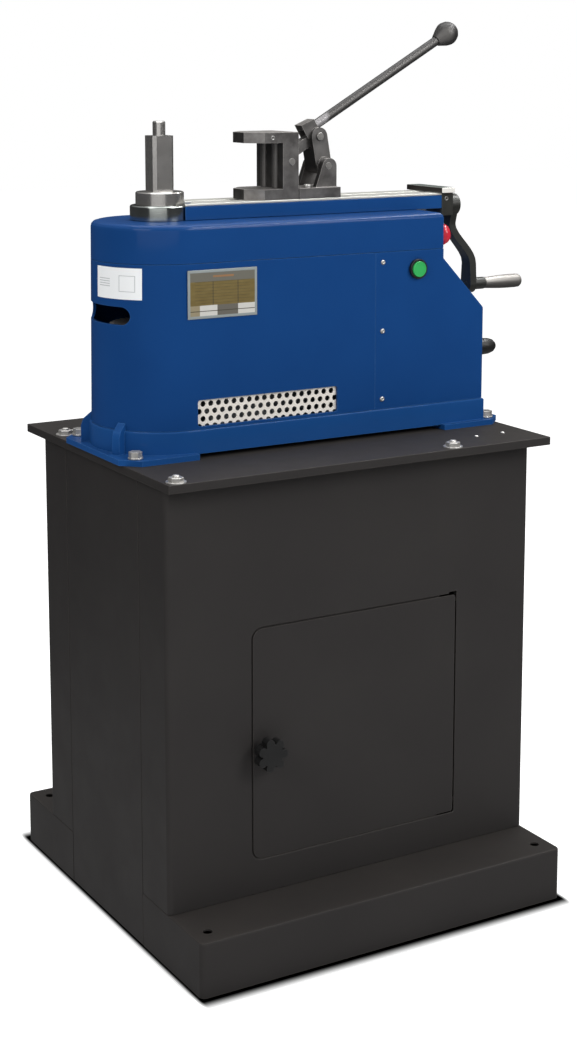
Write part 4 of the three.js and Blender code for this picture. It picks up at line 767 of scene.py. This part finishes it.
def paintedFootShadow(tree, place, floor):
    # a painted shadow: 0 in a dark line round the stand's foot, 1 beyond it; the line is tighter at the
    # stand's two ends
    corner = tuple(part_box("back_foot")[1])
    past = vectors(tree, "SUBTRACT", vectors(tree, "ABSOLUTE", place), corner)
    outside = vectors(tree, "MAXIMUM", past)
    gap = vectors(tree, "LENGTH", vectors(tree, "MULTIPLY", outside, (floor["endsTighter"], 1, 1)))
    return ramp(tree, gap, floor["shadowFrom"], floor["shadowTo"], interpolation_type="SMOOTHSTEP")


def addFloor():
    # white to the eye but for the real shadow and a painted shadow line round the stand's foot, and dim in
    # mirrors, the more so further off
    floor = {"half": 14.0, "grey": 0.8, "lift": 0.62, "from": 0.9, "to": 1.7, "near": 0.42, "far": 0.06,
             "shadowFrom": 0.006, "shadowTo": 0.034, "endsTighter": 3.2}
    half = floor["half"]
    corners = [(-half, -half, 0), (half, -half, 0), (half, half, 0), (-half, half, 0)]
    mesh = bpy.data.meshes.new("studioFloor")
    mesh.from_pydata(corners, [], [(0, 1, 2, 3)])
    plane = bpy.data.objects.new("studioFloor", mesh)
    bpy.context.scene.collection.objects.link(plane)
    material = bpy.data.materials.new("studioFloor")
    material.use_nodes = True
    tree = material.node_tree
    tree.nodes.clear()
    place = put(tree, "TexCoord").outputs["Object"]
    clear = paintedFootShadow(tree, place, floor)
    shade = put(tree, "BsdfDiffuse", {"Color": times(tree, clear, floor["grey"])})
    seen, glossy = seenPaths(tree)
    glow = put(tree, "Emission", {"Strength": times(tree, seen, times(tree, clear, floor["lift"]))})
    both = put(tree, "AddShader", {0: shade.outputs[0], 1: glow.outputs[0]})
    away = vectors(tree, "LENGTH", place)
    dim = ramp(tree, away, floor["from"], floor["to"], floor["near"], floor["far"])
    mirrored = put(tree, "Emission", {"Strength": dim})
    surface = put(tree, "MixShader", {0: glossy, 1: both.outputs[0], 2: mirrored.outputs[0]})
    tree.links.new(surface.outputs[0], put(tree, "OutputMaterial").inputs[0])
    mesh.materials.append(material)


def addWorld():
    # white to the eye, soft on matt faces, and for mirrors a dim room that brightens overhead
    sky = {"fill": 0.5, "low": 0.03, "high": 0.6, "from": 0.2, "to": 0.85}
    world = bpy.data.worlds.new("studio")
    bpy.context.scene.world = world
    world.use_nodes = True
    tree = world.node_tree
    tree.nodes.clear()
    room = ramp(tree, along(tree, "Generated", "Z"), sky["from"], sky["to"], sky["low"], sky["high"])
    seen, glossy = seenPaths(tree)
    strength = mixValue(tree, seen, mixValue(tree, glossy, sky["fill"], room), 1.0)
    back = put(tree, "Background", {"Color": (1, 1, 1, 1), "Strength": strength})
    tree.links.new(back.outputs[0], put(tree, "OutputWorld").inputs[0])


def addLamp(name, place, aim, size, power, shine=False):
    # a shine lamp is seen only in glossy faces
    data = bpy.data.lights.new(name, "AREA")
    data.shape = "RECTANGLE"
    data.size, data.size_y = size
    data.energy = power
    lamp = bpy.data.objects.new(name, data)
    bpy.context.scene.collection.objects.link(lamp)
    lamp.location = place
    lamp.visible_diffuse = not shine
    lamp.rotation_euler = (Vector(aim) - Vector(place)).to_track_quat("-Z", "Y").to_euler()


def addLamps():
    lamps = {
        "key": {"place": (1.5, -3.0, 2.5), "aim": (0, 0, 0.7), "size": (1.5, 1.5), "power": 70},
        "side": {"place": (-2.9, -1.5, 2.7), "aim": (0, 0, 0.7), "size": (1.6, 1.6), "power": 40},
        "top": {"place": (0.2, 0.4, 3.4), "aim": (0, 0, 1.0), "size": (2.2, 1.6), "power": 56},
        "band": {"place": (-1.98, -2.75, 1.28), "aim": (-0.236, -0.01, 1.28), "size": (4.3, 1.06),
                 "power": 19, "shine": True},
        "streak": {"place": (0.96, -0.45, 2.28), "aim": (0.21, -0.12, 1.0), "size": (1.8, 0.17),
                   "power": 32, "shine": True},
    }
    for name, lamp in lamps.items():
        addLamp(name, **lamp)


def addCamera():
    view = {"place": (-1.3491, -2.3183, 1.2326), "turn": 30.331, "down": 8.982, "focalPixels": 1838.54,
            "imageHigh": 1042, "axisRow": 350, "sensor": 36.0, "reach": 60}
    data = bpy.data.cameras.new("photoView")
    data.sensor_width = view["sensor"]
    data.lens = view["focalPixels"] * view["sensor"] / view["imageHigh"]
    data.shift_y = (view["axisRow"] - view["imageHigh"] / 2) / view["imageHigh"]
    data.clip_end = view["reach"]
    camera = bpy.data.objects.new("photoView", data)
    bpy.context.scene.collection.objects.link(camera)
    camera.location = view["place"]
    camera.rotation_euler = (math.radians(90 - view["down"]), 0, -math.radians(view["turn"]))
    bpy.context.scene.camera = camera


addFloor()
addWorld()
addLamps()
addCamera()
bpy.context.scene.view_settings.view_transform = "Standard"
print("studio set")
